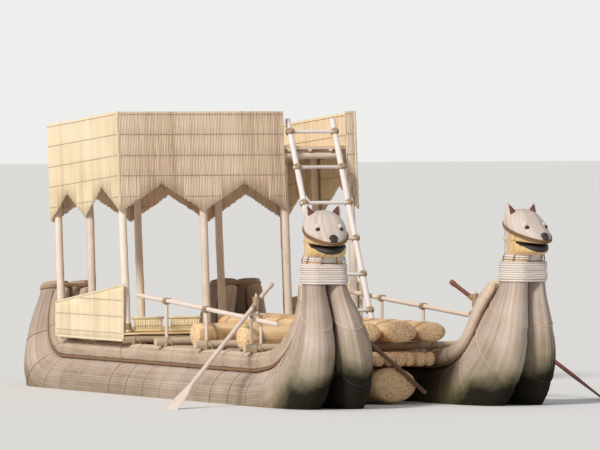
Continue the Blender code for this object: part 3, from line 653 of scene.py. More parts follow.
# Rings lie closer together at the mouth, whose edges stay sharp.
head_heights = np.concatenate([np.linspace(0, 0.20, 16), np.linspace(0.204, 0.242, 9),
                               np.linspace(ABOVE_MOUTH, HEAD_TOP, 26)])
head_rows = np.stack([head_heights] + [np.interp(head_heights, HEAD_TABLE[:, 0],
                                                 HEAD_TABLE[:, k]) for k in (1, 2, 3, 4)], -1)
eased = head_rows.copy()
for _ in range(2):
    eased[1:-1] = (eased[:-2] + 2 * eased[1:-1] + eased[2:]) / 4
off_mouth = (head_heights <= MOUTH_LOW) | (head_heights >= ABOVE_MOUTH)
head_rows[off_mouth, 1:] = eased[off_mouth, 1:]
for side, sign in SIDES:
    inner, outer = stations(hull_rows[-1:], sign, -1), stations(hull_rows[-1:], sign, 1)
    base = (inner[0][0] + outer[0][0]) / 2 + UP * GAP
    across = inner[1][0]
    ahead = np.cross(across, UP)

    def section(row, grow=0.0, turn=circle(HEAD_COLS)):
        """Ring of the head at a row of its table; the muzzle is narrower than the cheeks."""
        height, forward, half_depth, half_width, droop = row
        x = forward + (half_depth + grow) * np.cos(turn)
        narrower = MUZZLE_NARROWS * np.clip(x - MUZZLE_STARTS, 0, 1)
        y = (half_width + grow) * np.sin(turn) * (1 - narrower)
        return (base + ahead * x[:, None] + across * y[:, None]
                + UP * (height - droop * x)[:, None])

    def row_at(height):
        return [height] + [np.interp(height, head_heights, head_rows[:, k])
                           for k in (1, 2, 3, 4)]

    def spot_on(height, angle, grow):
        """Point on the head's skin at a height and an angle from straight ahead."""
        return section(row_at(height), grow, np.radians([angle]))[0]

    def from_foot(place, hand):
        """Point so far across, up and ahead of the middle of the head's foot."""
        out, rise, forward = place
        return base + across * (out * hand) + UP * rise + ahead * forward

    rings = np.array([section(row) for row in head_rows])
    centre = rings.mean(axis=1, keepdims=True)
    grooves = np.where(np.arange(HEAD_COLS) % 2 == 1, 0.984, 1.0)
    rings = centre + (rings - centre) * grooves[None, :, None]
    tones = rng.uniform(0.35, 1.0, HEAD_COLS // 2)
    angles = np.degrees(circle(HEAD_COLS))
    off_front = np.minimum(angles, 360 - angles)
    middles = ((head_heights[1:] + head_heights[:-1]) / 2)[:, None]
    jaw = (middles < band_height(off_front)) & (middles > JAW_LOW) & (off_front < JAW_ANGLE)
    mouth = (middles > MOUTH_LOW) & (middles < MOUTH_HIGH) & (off_front < MOUTH_ANGLE)
    head = Skin()
    # The grooves between the head's stalks take a darker tone, painted shade.
    first = head.net(rings, head_heights, np.linspace(0, 1.3, HEAD_COLS + 1),
                     np.clip(np.stack([tones, tones - 0.25], -1).reshape(-1), 0, 1),
                     np.where(mouth, 2, np.where(jaw, 1, 0)))
    head.cap(rings[0], first)
    head.cap(rings[-1], first + (len(rings) - 1) * HEAD_COLS, 0, 0.006, 0.7)
    marks, tufts, band, neck_ropes = Skin(), Skin(), Skin(), Skin()
    t = np.linspace(0, 1, 10)[:, None]
    for hand in (-1, 1):
        # An ear with a red tuft in front of it, and an eye: a pale lid round a dark ball.
        foot, tip = from_foot(EAR_FOOT, hand), from_foot(EAR_TIP, hand)
        tube(head, foot * (1 - t) + tip * t + across * (EAR_BOW * hand) * np.sin(np.pi * t),
             np.interp(t[:, 0], *EAR_SHAPE), 14, 0.75)
        foot, tip = from_foot(TUFT_FOOT, hand), from_foot(TUFT_TIP, hand)
        tube(tufts, foot * (1 - t) + tip * t, np.interp(t[:, 0], *TUFT_SHAPE), 10, 0.5)
        for skin, eye in ((head, EYELID), (marks, EYEBALL)):
            height, angle, inward, outward, radius, roundness, sides, tone = eye
            deep, proud = (spot_on(height, angle * hand, out) for out in (inward, outward))
            tube(skin, deep + (proud - deep) * t,
                 radius * np.sqrt(np.clip(roundness - t[:, 0] ** 2, 0, 1)), sides, tone)
    # The open mouth: a dark hollow whose lower edge curves up to the corners.
    lips = []
    for angle in np.linspace(-LIP_ANGLE, LIP_ANGLE, LIP_COLS):
        low_edge = LIP_LOW + LIP_CORNERS_RISE * (angle / LIP_ANGLE) ** 2
        levels = np.linspace(low_edge, LIP_TOP, LIP_ROWS)
        lips.append([spot_on(h, angle, LIP_OUT) for h in levels]
                    + [spot_on(h, angle, LIP_DEEP) for h in levels[::-1]])
    lips = np.array(lips)
    first = marks.net(lips, np.linspace(0, 0.5, LIP_COLS), np.linspace(0, 0.3, 2 * LIP_ROWS + 1),
                      0.1)
    marks.cap(lips[0], first, tone=0.1)
    marks.cap(lips[-1], first + (LIP_COLS - 1) * 2 * LIP_ROWS, tone=0.1)
    # The nose, of three short rolls, one under the other.
    t = np.linspace(-1, 1, 13)
    for level, size, half_angle in NOSE_ROLLS:
        tube(marks, [spot_on(level + NOSE_ARCHES * (1 - abs(k)), half_angle * k, NOSE_OUT)
                     for k in t], size * np.sqrt(np.clip(1.08 - t ** 2, 0, 1)), 12, 0.3)
    for shift, size in BAND_CORDS:
        tube(band, [spot_on(band_height(a) + shift, a, BAND_OUT) for a in angles], size, 6, 0.4,
             loop=True)
    t = np.linspace(0, 1, 6)[:, None]
    for angle in STITCH_ANGLES:
        # Stitches that hold the head down on its collar.
        foot = spot_on(0.0, angle, 0.012) - UP * STITCH_BELOW
        top = spot_on(STITCH_TOP, angle, 0.002)
        bow_out = unit(foot - base - UP * np.dot(foot - base, UP))
        tube(band, foot + (top - foot) * t + bow_out * (STITCH_BOWS * np.sin(np.pi * t)), STITCH_R,
             5, 0.4)
    for level in NECK_ROPE_HEIGHTS:
        tube(neck_ropes, section(row_at(level), 0.002), NECK_ROPE_R, 6, 0.6, loop=True)
    head.write(f"reed_head_{side}", [HEAD_REED, JAW_REED, DARK], "head", nodes=(f"head_{side}",))
    marks.write(f"head_marks_{side}", [DARK], "head")
    tufts.write(f"head_tufts_{side}", [TUFT], "head")
    band.write(f"head_bands_{side}", [BROWN_CORD], "rope")
    neck_ropes.write(f"head_ropes_{side}", [PALE_ROPE], "rope")

# Float, deck layer, deck bundles and seats: straight bundles of golden reed with their
# cut ends showing, bound with grass rope.  The float and the layer fill the space between
# the hulls, and the bundles and seats lie on the beams and on the rolls.
HULL_TOP, HULL_HALF = HULL_LINE[8][3:5]  # amidships
ROLL_TOP = HULL_TOP + GAP + 2 * ROLL_R
BEAM_R = 0.045
BEAM_TOP = ROLL_TOP + GAP + 2 * BEAM_R
FLOAT_H, FLOAT_HALF, FLOAT_FORE = 0.205, 0.185, 2.60
ON_BEAMS, ON_ROLLS = BEAM_TOP + GAP, ROLL_TOP + GAP
LAYER_AFT, LAYER_FORE, LAYER_RAGGED = -3.05, 2.50, 0.04
LAYER_Y, LAYER_HALF, LAYER_STALKS, LAYER_SPACING = np.arange(-4, 5) * 0.12, 0.066, 14, 0.55
DECK_GROOVE, DECK_ROPE_SINKS, DECK_DOME = 0.006, 0.011, 0.016
BINDING_R = 0.007  # two turns of it, side by side, at each place
FIRST_BINDING, LAST_BINDING_FROM_END, BINDING_SPACING = 0.20, 0.08, 0.40
STRAIGHT = [
    # name, node, start, end, half_width, half_height, stalks, what it lies on
    ("reed_float", "centre_float", (-3.00, 0), (FLOAT_FORE, 0), 0.26, FLOAT_HALF, 52,
     FLOAT_H - FLOAT_HALF),
    ("deck_bundle_s", "deck_bundle_starboard", (-0.90, -0.24), (2.40, -0.24), 0.18, 0.115, 34,
     ON_BEAMS),
    ("deck_bundle_m", "deck_bundle_middle", (-0.90, 0.16), (2.43, 0.16), 0.19, 0.115, 36,
     ON_BEAMS),
    ("deck_bundle_p", "deck_bundle_port", (0.05, 0.55), (2.38, 0.55), 0.17, 0.110, 32, ON_BEAMS),
    ("reed_seat_fore", "seat_fore", (1.35, -1.20), (1.35, -0.44), 0.14, 0.13, 28, ON_ROLLS),
    ("reed_seat_aft", "seat_aft", (0.20, -1.20), (0.20, -0.44), 0.14, 0.13, 28, ON_ROLLS),
]


def straight(skin, cords, start, end, half_width, half_height, stalks, spacing=BINDING_SPACING):
    """Straight bundle, a little thinner at both ends, with its bindings."""
    start, end = np.array(start, float), np.array(end, float)
    length = np.linalg.norm(end - start)
    line = (end - start) / length
    across = np.cross(UP, line)
    ropes = np.arange(min(FIRST_BINDING, length / 4), length - LAST_BINDING_FROM_END, spacing)
    along = np.linspace(0, length, max(8, int(length / 0.06)))
    size = np.ones(len(along))
    size[0] = size[-1] = 0.94
    bundle(skin, start + line * along[:, None], np.tile(across, (len(along), 1)),
           np.tile(UP, (len(along), 1)), half_width * size, half_height * size, along, stalks,
           DECK_GROOVE, ropes, DECK_ROPE_SINKS, DECK_DOME)
    turn = circle(32)[:, None]
    ring = (across * ((half_width - BINDING_R) * np.cos(turn))
            + UP * ((half_height - BINDING_R) * np.sin(turn)))
    for place in ropes:
        for shift in (-BINDING_R, BINDING_R):
            tube(cords, start + line * (place + shift) + ring, BINDING_R, 5,
                 rng.uniform(0.2, 0.9), loop=True)


DECK_REED = reed("deck_reed", (0.54, 0.31, 0.14), (0.93, 0.62, 0.33), (0.97, 0.76, 0.48), 0.014)
cords, layer = Skin(), Skin()
for name, cad, start, end, half_width, half_height, stalks, foot in STRAIGHT:
    skin = Skin()
    h = foot + half_height
    straight(skin, cords, (*start, h), (*end, h), half_width, half_height, stalks)
    skin.write(name, [DECK_REED, ENDS], "reed", nodes=(cad,))
layer_low = FLOAT_H + FLOAT_HALF + GAP
h, half_height = (layer_low + ROLL_TOP) / 2, (ROLL_TOP - layer_low) / 2
for y in LAYER_Y:
    straight(layer, cords, (LAYER_AFT, y, h), (LAYER_FORE - rng.uniform(0, LAYER_RAGGED), y, h),
             LAYER_HALF, half_height, LAYER_STALKS, LAYER_SPACING)
layer.write("reed_layer", [DECK_REED, ENDS], "reed", nodes=("deck_layer",))
cords.write("deck_cords", [GRASS_ROPE], "rope")

# Cross beams: bare poles over the rolls, each lashed down where it crosses one, which
# hold the two hulls together and carry the cabin and the deck.
CABIN_FRONT_X, CABIN_MID_X, CABIN_AFT_X = -1.13, -2.00, -2.83
POST_Y, POST_R = 1.39, 0.045
FLOOR_SIDE = POST_Y + POST_R
BEAMS = {"aft": -2.76, "cabin": CABIN_MID_X, "front": CABIN_FRONT_X, "ladder": -0.30,
         "midship": 0.70, "oar": 1.92}
ROLLS_Y = [y + half for y in (-HULL_Y, HULL_Y) for half in (-HULL_HALF, HULL_HALF)]
POLE_RINGS_EVERY, KNOTS_EVERY, KNOT_SWELLS = 0.085, 0.55, 1.07


def even_tone(mesh, tone):
    """One tone for a whole piece, where a bundle has one for each stalk."""
    tones = mesh.attributes.new("tone", "FLOAT", "POINT")
    tones.data.foreach_set("value", np.full(len(mesh.vertices), tone, np.float32))


def spread(made, tall, girth, tone):
    """Coordinates in metres along and across a turned piece, and its tone."""
    mesh = made.data
    uv = np.zeros(len(mesh.loops) * 2)
    mesh.uv_layers.active.data.foreach_get("uv", uv)
    across, along = uv.reshape(-1, 2).T
    uv = np.stack([along * tall + rng.uniform(0, 3), across * girth], -1)
    mesh.uv_layers.active.data.foreach_set("uv", uv.ravel())
    even_tone(mesh, tone)


def pick_ring(made, foot, along, height, reach):
    """Selects the vertices at a height along a pole that is being edited."""
    bpy.ops.mesh.select_all(action="DESELECT")
    edited = bmesh.from_edit_mesh(made.data)
    for vertex in edited.verts:
        vertex.select_set(bool(abs((vertex.co - foot).dot(along) - height) < reach))
    edited.select_flush_mode()
    bmesh.update_edit_mesh(made.data)


def pole(start, end, radius, sides=10, bend=0.004, taper=0.06):
    """Natural pole from one cone: cut into rings, bent in two places, swollen at its knots."""
    foot, top = Vector(np.add(start, MODEL_SHIFT)), Vector(np.add(end, MODEL_SHIFT))
    length, along = (top - foot).length, (top - foot).normalized()
    cuts = max(4, int(length / POLE_RINGS_EVERY))
    step = length / (cuts + 1)
    bpy.ops.object.select_all(action="DESELECT")
    bpy.ops.mesh.primitive_cone_add(
        vertices=sides, radius1=radius * 0.97, radius2=radius * (0.97 - taper), depth=length,
        location=(foot + top) / 2, rotation=along.to_track_quat("Z", "Y").to_euler())
    made = bpy.context.object
    bpy.ops.object.transform_apply(location=True, rotation=True, scale=True)
    bpy.ops.object.mode_set(mode="EDIT")
    bpy.ops.mesh.select_all(action="DESELECT")
    bpy.ops.mesh.select_mode(type="EDGE")
    edited = bmesh.from_edit_mesh(made.data)
    for edge in edited.edges:
        if edge.calc_length() > length * 0.9:
            edge.select_set(True)
    bmesh.update_edit_mesh(made.data)
    bpy.ops.mesh.subdivide(number_cuts=cuts)
    bpy.ops.mesh.select_mode(type="VERT")
    for share, push in ((0.5, bend), (0.3, bend * 0.6)):
        turn = Matrix.Rotation(rng.uniform(0, 2 * math.pi), 3, along)
        pick_ring(made, foot, along, round(share * (cuts + 1)) * step, step / 3)
        bpy.ops.transform.translate(value=turn @ along.orthogonal().normalized() * push,
                                    use_proportional_edit=True,
                                    proportional_edit_falloff="SMOOTH",
                                    proportional_size=length * share * 0.95)
    for _ in range(max(1, int(length / KNOTS_EVERY))):
        height = rng.integers(1, cuts + 1) * step
        pick_ring(made, foot, along, height, step / 3)
        bpy.ops.transform.resize(value=(KNOT_SWELLS,) * 3, center_override=foot + along * height)
    bpy.ops.object.mode_set(mode="OBJECT")
    bpy.ops.object.shade_smooth_by_angle(angle=math.radians(50))
    spread(made, 2 * length, 2 * math.pi * radius, rng.uniform(0.2, 0.9))
    return made


def gather(parts, name, materials, body="boat", nodes=()):
    """Joins parts into one piece."""
    bpy.ops.object.select_all(action="DESELECT")
    for part in parts:
        part.select_set(True)
    bpy.context.view_layer.objects.active = parts[0]
    if len(parts) > 1:
        bpy.ops.object.join()
    parts[0].name = parts[0].data.name = name
    settle(parts[0], materials, body, nodes)


def crossing(skin, centre, first, second, radius, size=0.006):
    """Cross lashing where two poles meet: cord over the joint in both diagonals."""
    first, second = unit(first), unit(second)
    normal = unit(np.cross(first, second))
    turn = circle(18)[:, None]
    for mix in (1, -1):
        across = unit(first + second * mix)
        ring = across * (np.cos(turn) * radius * 1.35) + normal * (np.sin(turn) * radius * 2.05)
        for shift in (-1.1, 0, 1.1):
            tube(skin, np.asarray(centre, float) + np.cross(normal, across) * (size * shift * 2)
                 + ring, size, 5, rng.uniform(0.3, 0.9), loop=True)


BEAM_WOOD = wood("beam_wood", (0.28, 0.19, 0.12), (0.52, 0.39, 0.26), (0.70, 0.56, 0.41))
lashings = Skin()
for word, x in BEAMS.items():
    h = ROLL_TOP + GAP + BEAM_R
    gather([pole((x, -FLOOR_SIDE, h), (x, FLOOR_SIDE, h), BEAM_R, 12, 0.003)], f"pole_{word}",
           [BEAM_WOOD], nodes=(f"beam_{word}",))
    for y in ROLLS_Y:
        crossing(lashings, (x, y, ROLL_TOP - 0.004), (1, 0, 0), (0, 1, 0), BEAM_R * 1.05)
lashings.write("lashings_beams", [GRASS_ROPE], "rope")

# Cabin floor: a mat of reed laid across the three cabin beams, stalk beside stalk, and
# stitched with twine in five places.
MAT_THICK, FLOOR_THICK = 0.032, 0.030
FLOOR_TOP = BEAM_TOP + GAP + FLOOR_THICK
WALL_FRONT, WALL_AFT = CABIN_FRONT_X + POST_R, CABIN_AFT_X - POST_R
STITCHED_ACROSS = (-1.2, -0.6, 0.0, 0.6, 1.2)
FLOOR_STALK = {"width": 0.021, "thick": 0.013, "ragged": 0.008}
STALK_WANDERS = 0.0014
TWINE_R, TWINE_OVER_END, TWINE_UNDER_END, TWINE_PINCHES = 0.0042, 0.03, 0.02, 0.09


def stitch(twine, place, run, half, thick, level):
    """Twine over and under the stalks of a run, on both faces of the mat."""
    for face in (1, -1):
        spots = np.stack([run, run + half], -1).reshape(-1)[:-1]
        outs = np.tile((thick * 0.92, thick * 0.55), len(run))[:-1] * face
        tube(twine, place(spots, outs, np.full(len(spots), level)), TWINE_R, 4,
             rng.uniform(0.2, 0.8))


def crosses(level, low_end, top_end):
    """Whether a row of twine crosses a stalk well inside its two ends."""
    return (low_end + TWINE_OVER_END < level) & (level < top_end - TWINE_UNDER_END)


def mat(skin, twine, place, span, bottom, top, levels, width, thick, ragged):
    """Stalks side by side and twine over them.  place(along, out, up) gives a point, and
    bottom and top give the mat's edges at a place along it, where the stalks end a little
    unevenly."""
    count = max(3, int(round(abs(span[1] - span[0]) / width)))
    edges = np.linspace(*span, count + 1)
    middles = (edges[1:] + edges[:-1]) / 2
    half = abs(edges[1] - edges[0]) / 2 * 1.22
    turn = circle(6) + np.pi / 6
    lows = np.array([bottom(m) for m in middles]) + rng.uniform(-ragged, ragged * 0.2, count)
    tops = np.array([top(m) for m in middles]) + rng.uniform(-ragged * 0.35, 0.0, count)
    broad = np.interp(np.arange(count), np.linspace(0, count, max(3, count // 6)),
                      rng.uniform(0.15, 0.95, max(3, count // 6)))
    for m, low_end, top_end, tint in zip(middles, lows, tops, broad):
        heights, pinch = [low_end], [0.9]
        for level in levels:
            if crosses(level, low_end, top_end):
                heights += [level, level + TWINE_PINCHES]
                pinch += [0.80, 1.0]
        heights = [h for h in heights if h < top_end - TWINE_UNDER_END] + [top_end]
        pinch = np.array(pinch[:len(heights) - 1] + [0.9])
        heights = np.array(heights)
        sway, out = rng.normal(0, STALK_WANDERS, (2, len(heights))) * ((1.0,), (0.6,))
        sway[0] = sway[-1] = 0
        rings = place(m + sway[:, None] + half * np.cos(turn) * pinch[:, None],
                      out[:, None] + thick * np.sin(turn) * pinch[:, None],
                      heights[:, None] + 0 * turn)
        first = skin.net(rings, heights, np.linspace(0, 2 * (half + thick), 7) + rng.uniform(0, 9),
                         np.clip(0.6 * tint + 0.4 * rng.uniform(0, 1), 0, 1))
        for start in (first, first + (len(heights) - 1) * 6):
            skin.add_faces(np.array([[0, 1, 2, 3], [0, 3, 4, 5]]) + start, np.zeros((2, 4, 2)))
    for level in levels:
        crossed = crosses(level, lows, tops)
        breaks = np.flatnonzero(np.diff(crossed)) + 1
        for run, met in zip(np.split(middles, breaks), np.split(crossed, breaks)):
            if met[0] and len(run) > 2:
                stitch(twine, place, run, half, thick, level)


STRAW_CORD = rope("straw_cord", *STRAW)
skin, twine = Skin(), Skin()
middle_h = FLOOR_TOP - FLOOR_THICK / 2
mat(skin, twine, lambda along, out, up: np.stack([along, up, middle_h + out], -1),
    (WALL_AFT, WALL_FRONT), lambda m: -FLOOR_SIDE, lambda m: FLOOR_SIDE, STITCHED_ACROSS,
    **FLOOR_STALK)
skin.write("floor_skin", [DECK_REED], "reed_mat", nodes=("cabin_floor",))
twine.write("floor_twine", [STRAW_CORD], "rope")

# Cabin frame: four posts at each end under a header pole, and one more on each side.  It
# leans aft about the feet of its front posts, so it is set out upright and then leaned.
POSTS_Y = (-POST_Y, -0.42, 0.58, POST_Y)
TILT = math.radians(4.8)
POST_FOOT = FLOOR_TOP + GAP
UPPER_DECK_H, DECK_THICK = 2.70, 0.07
DECK_TOP = UPPER_DECK_H - POST_FOOT
DECK_BOTTOM = DECK_TOP - DECK_THICK
HEADER_TOP = DECK_BOTTOM - GAP
HEADER_R, HEADER_PAST_POST = 0.038, 0.03
HEADER_MIDDLE, POST_TOP = HEADER_TOP - HEADER_R - 0.002, HEADER_TOP - 0.01
POST_SHORT = 0.002  # a post's skin starts and ends inside its solid
TOP_CORD_H, TOP_CORD = HEADER_TOP - 0.115, {"radius": POST_R, "turns": 5, "width": 0.05}
FOOT_CORD_H, FOOT_CORD = 0.06, {"radius": POST_R, "turns": 6, "width": 0.07}
MID_X, AFT_X = CABIN_MID_X - CABIN_FRONT_X, CABIN_AFT_X - CABIN_FRONT_X


def lean(points):
    """From the cabin's own axes to the boat's."""
    x, y, z = np.moveaxis(np.asarray(points, float), -1, 0)
    return np.stack([CABIN_FRONT_X + x * math.cos(TILT) - z * math.sin(TILT), y,
                     POST_FOOT + x * math.sin(TILT) + z * math.cos(TILT)], -1)


def wrap(skin, centre, axis, radius, turns, width, size=0.006):
    """Cord wound round something round, as one helix."""
    axis = unit(axis)
    side = unit(np.cross(axis, (0.31, 0.52, 0.79)))
    turn = np.linspace(0, 2 * np.pi * turns, turns * 12)[:, None]
    tube(skin, np.asarray(centre, float) + (side * np.cos(turn) + np.cross(axis, side)
                                            * np.sin(turn)) * (radius + size * 0.6)
         + axis * (np.linspace(-0.5, 0.5, len(turn))[:, None] * width), size, 5,
         rng.uniform(0.3, 0.9))


POLE_WOOD = wood("pole_wood", (0.46, 0.36, 0.28), (0.76, 0.63, 0.51), (0.91, 0.82, 0.71))
LEAN_UP = np.array((-math.sin(TILT), 0, math.cos(TILT)))
lashings = Skin()
for word, x in (("front", 0.0), ("aft", AFT_X)):
    # The feet of the aft posts are cut level, lower in the cabin's leaning axes.
    foot = -x * math.tan(TILT)
    poles = [pole(lean((x, -POST_Y - HEADER_PAST_POST, HEADER_MIDDLE)),
                  lean((x, POST_Y + HEADER_PAST_POST, HEADER_MIDDLE)), HEADER_R, 12, 0.002)]
    for y in POSTS_Y:
        poles.append(pole(lean((x, y, foot + POST_SHORT)), lean((x, y, POST_TOP)), POST_R, 12))
        wrap(lashings, lean((x, y, TOP_CORD_H)), LEAN_UP, **TOP_CORD)
        wrap(lashings, lean((x, y, foot + FOOT_CORD_H)), LEAN_UP, **FOOT_CORD)
    gather(poles, f"cabin_frame_{word}", [POLE_WOOD], nodes=(f"frame_{word}",))
for side, sign in SIDES:
    x, y, foot = MID_X, sign * POST_Y, -MID_X * math.tan(TILT)
    gather([pole(lean((x, y, foot + POST_SHORT)), lean((x, y, HEADER_TOP)), POST_R, 12)],
           f"cabin_post_{side}", [POLE_WOOD], nodes=(f"post_{side}",))
    wrap(lashings, lean((x, y, foot + FOOT_CORD_H)), LEAN_UP, **FOOT_CORD)
lashings.write("lashings_cabin", [GRASS_ROPE], "rope")

# Low walls: fine reed mats in a rolled rim on both sides of the cabin floor, and two
# lower golden panels between the front posts.
WALL_FOOT, WALL_TOP_AFT, WALL_TOP_FRONT = ROLL_TOP + 0.02, 0.97, 1.20
WALL_Y = FLOOR_SIDE + GAP + MAT_THICK / 2
WALL_STALK = {"width": 0.017, "thick": 0.010, "ragged": 0.004}
WALL_STITCHES = (0.66, 0.84, 1.02)
RIM, RIM_R, IN_RIM, WALL_IN_END = 0.014, 0.0155, 0.012, 0.02
PANEL_OFF_POST = POST_R + 0.03
PANELS = (("outer", POSTS_Y[0] + PANEL_OFF_POST, -0.94),
          ("inner", -0.88, POSTS_Y[1] - PANEL_OFF_POST))
PANEL_TOP, PANEL_STITCHES = 0.84, (0.74,)
PANEL_STALK = {"width": 0.020, "thick": 0.009, "ragged": 0.003}
PANEL_RIM, PANEL_RIM_R, PANEL_IN_END, PANEL_IN_FOOT = 0.016, 0.0145, 0.015, 0.008


def wall_top(m):
    """Upper edge of a side wall's stalks, which rises forward."""
    return np.interp(m, (WALL_AFT, WALL_FRONT), (WALL_TOP_AFT - IN_RIM, WALL_TOP_FRONT - IN_RIM))


WALL_REED = reed("wall_reed", (0.62, 0.48, 0.29), (0.86, 0.71, 0.48), (0.94, 0.84, 0.65))
GOLD_REED = reed("gold_reed", (0.98, 0.72, 0.38), (1.00, 0.80, 0.46), (1.00, 0.88, 0.60))
rims, gold_rims, twine = Skin(), Skin(), Skin()
for side, sign in SIDES:
    skin = Skin()
    y = sign * WALL_Y
    mat(skin, twine, lambda along, out, up: np.stack([along, y + sign * out, up], -1),
        (WALL_AFT + WALL_IN_END, WALL_FRONT - WALL_IN_END), lambda m: WALL_FOOT + IN_RIM,
        wall_top, WALL_STITCHES, **WALL_STALK)
    skin.write(f"wall_skin_{side}", [WALL_REED], "reed_mat", nodes=(f"wall_{side}",))
    corners = [(WALL_AFT + RIM, y, WALL_FOOT + RIM), (WALL_FRONT - RIM, y, WALL_FOOT + RIM),
               (WALL_FRONT - RIM, y, WALL_TOP_FRONT - RIM), (WALL_AFT + RIM, y, WALL_TOP_AFT - RIM)]
    for start, end in zip(corners, corners[1:] + corners[:1]):
        tube(rims, np.linspace(start, end, 16), RIM_R, 8, rng.uniform(0.3, 0.9))
for word, y0, y1 in PANELS:
    skin = Skin()
    x = CABIN_FRONT_X - MAT_THICK / 2
    mat(skin, twine, lambda along, out, up: np.stack([x + out, along, up], -1),
        (y0 + PANEL_IN_END, y1 - PANEL_IN_END), lambda m: POST_FOOT + PANEL_IN_FOOT,
        lambda m: PANEL_TOP - IN_RIM, PANEL_STITCHES, **PANEL_STALK)
    skin.write(f"wall_skin_{word}", [GOLD_REED], "reed_mat", nodes=(f"wall_front_{word}",))
    for h in (POST_FOOT + PANEL_RIM, PANEL_TOP - PANEL_RIM):
        tube(gold_rims, np.linspace((x, y0, h), (x, y1, h), 6), PANEL_RIM_R, 8,
             rng.uniform(0.3, 0.9))
rims.write("wall_rims", [WALL_REED], "reed_mat")
gold_rims.write("panel_rims", [GOLD_REED], "reed_mat")
twine.write("wall_twine", [STRAW_CORD], "rope")

# Upper deck: a reed mat on twelve thin joists, with a pole under its front and aft edges,
# all lying on the headers.
JOISTS, JOIST_R, JOIST_OUT = 12, 0.023, FLOOR_SIDE - 0.03
EDGE_POLE_R, EDGE_POLE_DOWN, STALKS_DOWN = 0.016, 0.03, 0.012
DECK_STALK = {"width": 0.021, "thick": 0.011, "ragged": 0.008}
skin, twine = Skin(), Skin()
middle_h = DECK_TOP - STALKS_DOWN
mat(skin, twine, lambda along, out, up: lean(np.stack([along, up, middle_h + out], -1)),
    (AFT_X - POST_R, POST_R), lambda m: -FLOOR_SIDE, lambda m: FLOOR_SIDE, STITCHED_ACROSS,
    **DECK_STALK)
skin.write("deck_skin", [DECK_REED], "reed_mat", nodes=("upper_deck",))
twine.write("deck_twine", [STRAW_CORD], "rope")
h = DECK_BOTTOM + JOIST_R + 0.001
poles = [pole(lean((AFT_X - POST_R, y, h)), lean((POST_R, y, h)), JOIST_R, 8, 0.002)
         for y in np.linspace(-JOIST_OUT, JOIST_OUT, JOISTS)]
h = DECK_TOP - EDGE_POLE_DOWN
poles += [pole(lean((x, -FLOOR_SIDE, h)), lean((x, FLOOR_SIDE, h)), EDGE_POLE_R, 8, 0.001)
          for x in (POST_R - EDGE_POLE_R, AFT_X - POST_R + EDGE_POLE_R)]
gather(poles, "deck_joists", [POLE_WOOD])

# Hanging mats: the upper deck's walls, reed mats stitched with twine, whose lower edge is
# cut to points below the deck.  The front one leaves a gap for the ladder.
PARAPET_TOP = 3.08 - POST_FOOT
LEVELS = [h - POST_FOOT for h in (2.15, 2.38, 2.60, 2.83, 3.05)]
POINT_LOW, POINT_HIGH = 1.99 - POST_FOOT, 2.29 - POST_FOOT
LADDER_GAP = (0.57, 1.32)
OFF_POST = POST_R + GAP + MAT_THICK / 2
# Name, solid, its two ends, how many bays its points make, its place and the way it faces.
CROSS_MATS = (
    ("mat_skin_front", "mat_front", -FLOOR_SIDE, LADDER_GAP[0], 2, OFF_POST, 1),
    ("mat_skin_stub", "mat_front_stub", LADDER_GAP[1], FLOOR_SIDE, 1, OFF_POST, 1),
    ("mat_skin_aft", "mat_aft", -FLOOR_SIDE, FLOOR_SIDE, 3, AFT_X - OFF_POST, -1),
)
HANGING_STALK = {"width": 0.019, "thick": 0.013, "ragged": 0.012}
MAT_SHORT = 0.004  # a mat's end stalks stand this far inside its solid
CORNER_STALK_R, CORNER_IN, CORNER_LOW = 0.0135, 0.009, 2.0 - POST_FOOT


def valance(start, end, bays):
    """Lower edge of a mat, cut to points."""
    tips = np.linspace(start, end, 2 * bays + 1)
    drops = [POINT_HIGH if k % 2 else POINT_LOW for k in range(2 * bays + 1)]
    return lambda m: np.interp(m, tips, drops)


FRONT_MAT = reed("front_mat_reed", (0.52, 0.37, 0.25), (0.81, 0.63, 0.46), (0.91, 0.77, 0.62))
SIDE_MAT = reed("side_mat_reed", (0.56, 0.42, 0.25), (0.86, 0.70, 0.47), (0.94, 0.83, 0.64))
twine = Skin()
for name, cad, start, end, bays, x, facing in CROSS_MATS:
    skin = Skin()
    mat(skin, twine, lambda along, out, up: lean(np.stack([x + facing * out, along, up], -1)),
        (start + MAT_SHORT, end - MAT_SHORT), valance(start, end, bays), lambda m: PARAPET_TOP,
        LEVELS, **HANGING_STALK)
    skin.write(name, [FRONT_MAT], "reed_mat", nodes=(cad,))
for side, sign in SIDES:
    skin = Skin()
    y = sign * WALL_Y
    start, end = AFT_X - POST_R - MAT_THICK, POST_R + MAT_THICK
    mat(skin, twine, lambda along, out, up: lean(np.stack([along, y + sign * out, up], -1)),
        (start + MAT_SHORT, end - MAT_SHORT), valance(start, end, 2), lambda m: PARAPET_TOP,
        LEVELS, **HANGING_STALK)
    for x in (end - MAT_THICK / 2, start + MAT_THICK / 2):
        # A stalk in each corner closes the joint with the front and aft mats.
        corner_y = y - sign * CORNER_IN
        tube(skin, lean(np.linspace((x, corner_y, CORNER_LOW),
                                    (x, corner_y, PARAPET_TOP - MAT_SHORT), 8)),
             CORNER_STALK_R, 8, 0.6)
    skin.write(f"mat_skin_{side}", [SIDE_MAT], "reed_mat", nodes=(f"mat_{side}",))
twine.write("mat_twine", [STRAW_CORD], "rope")

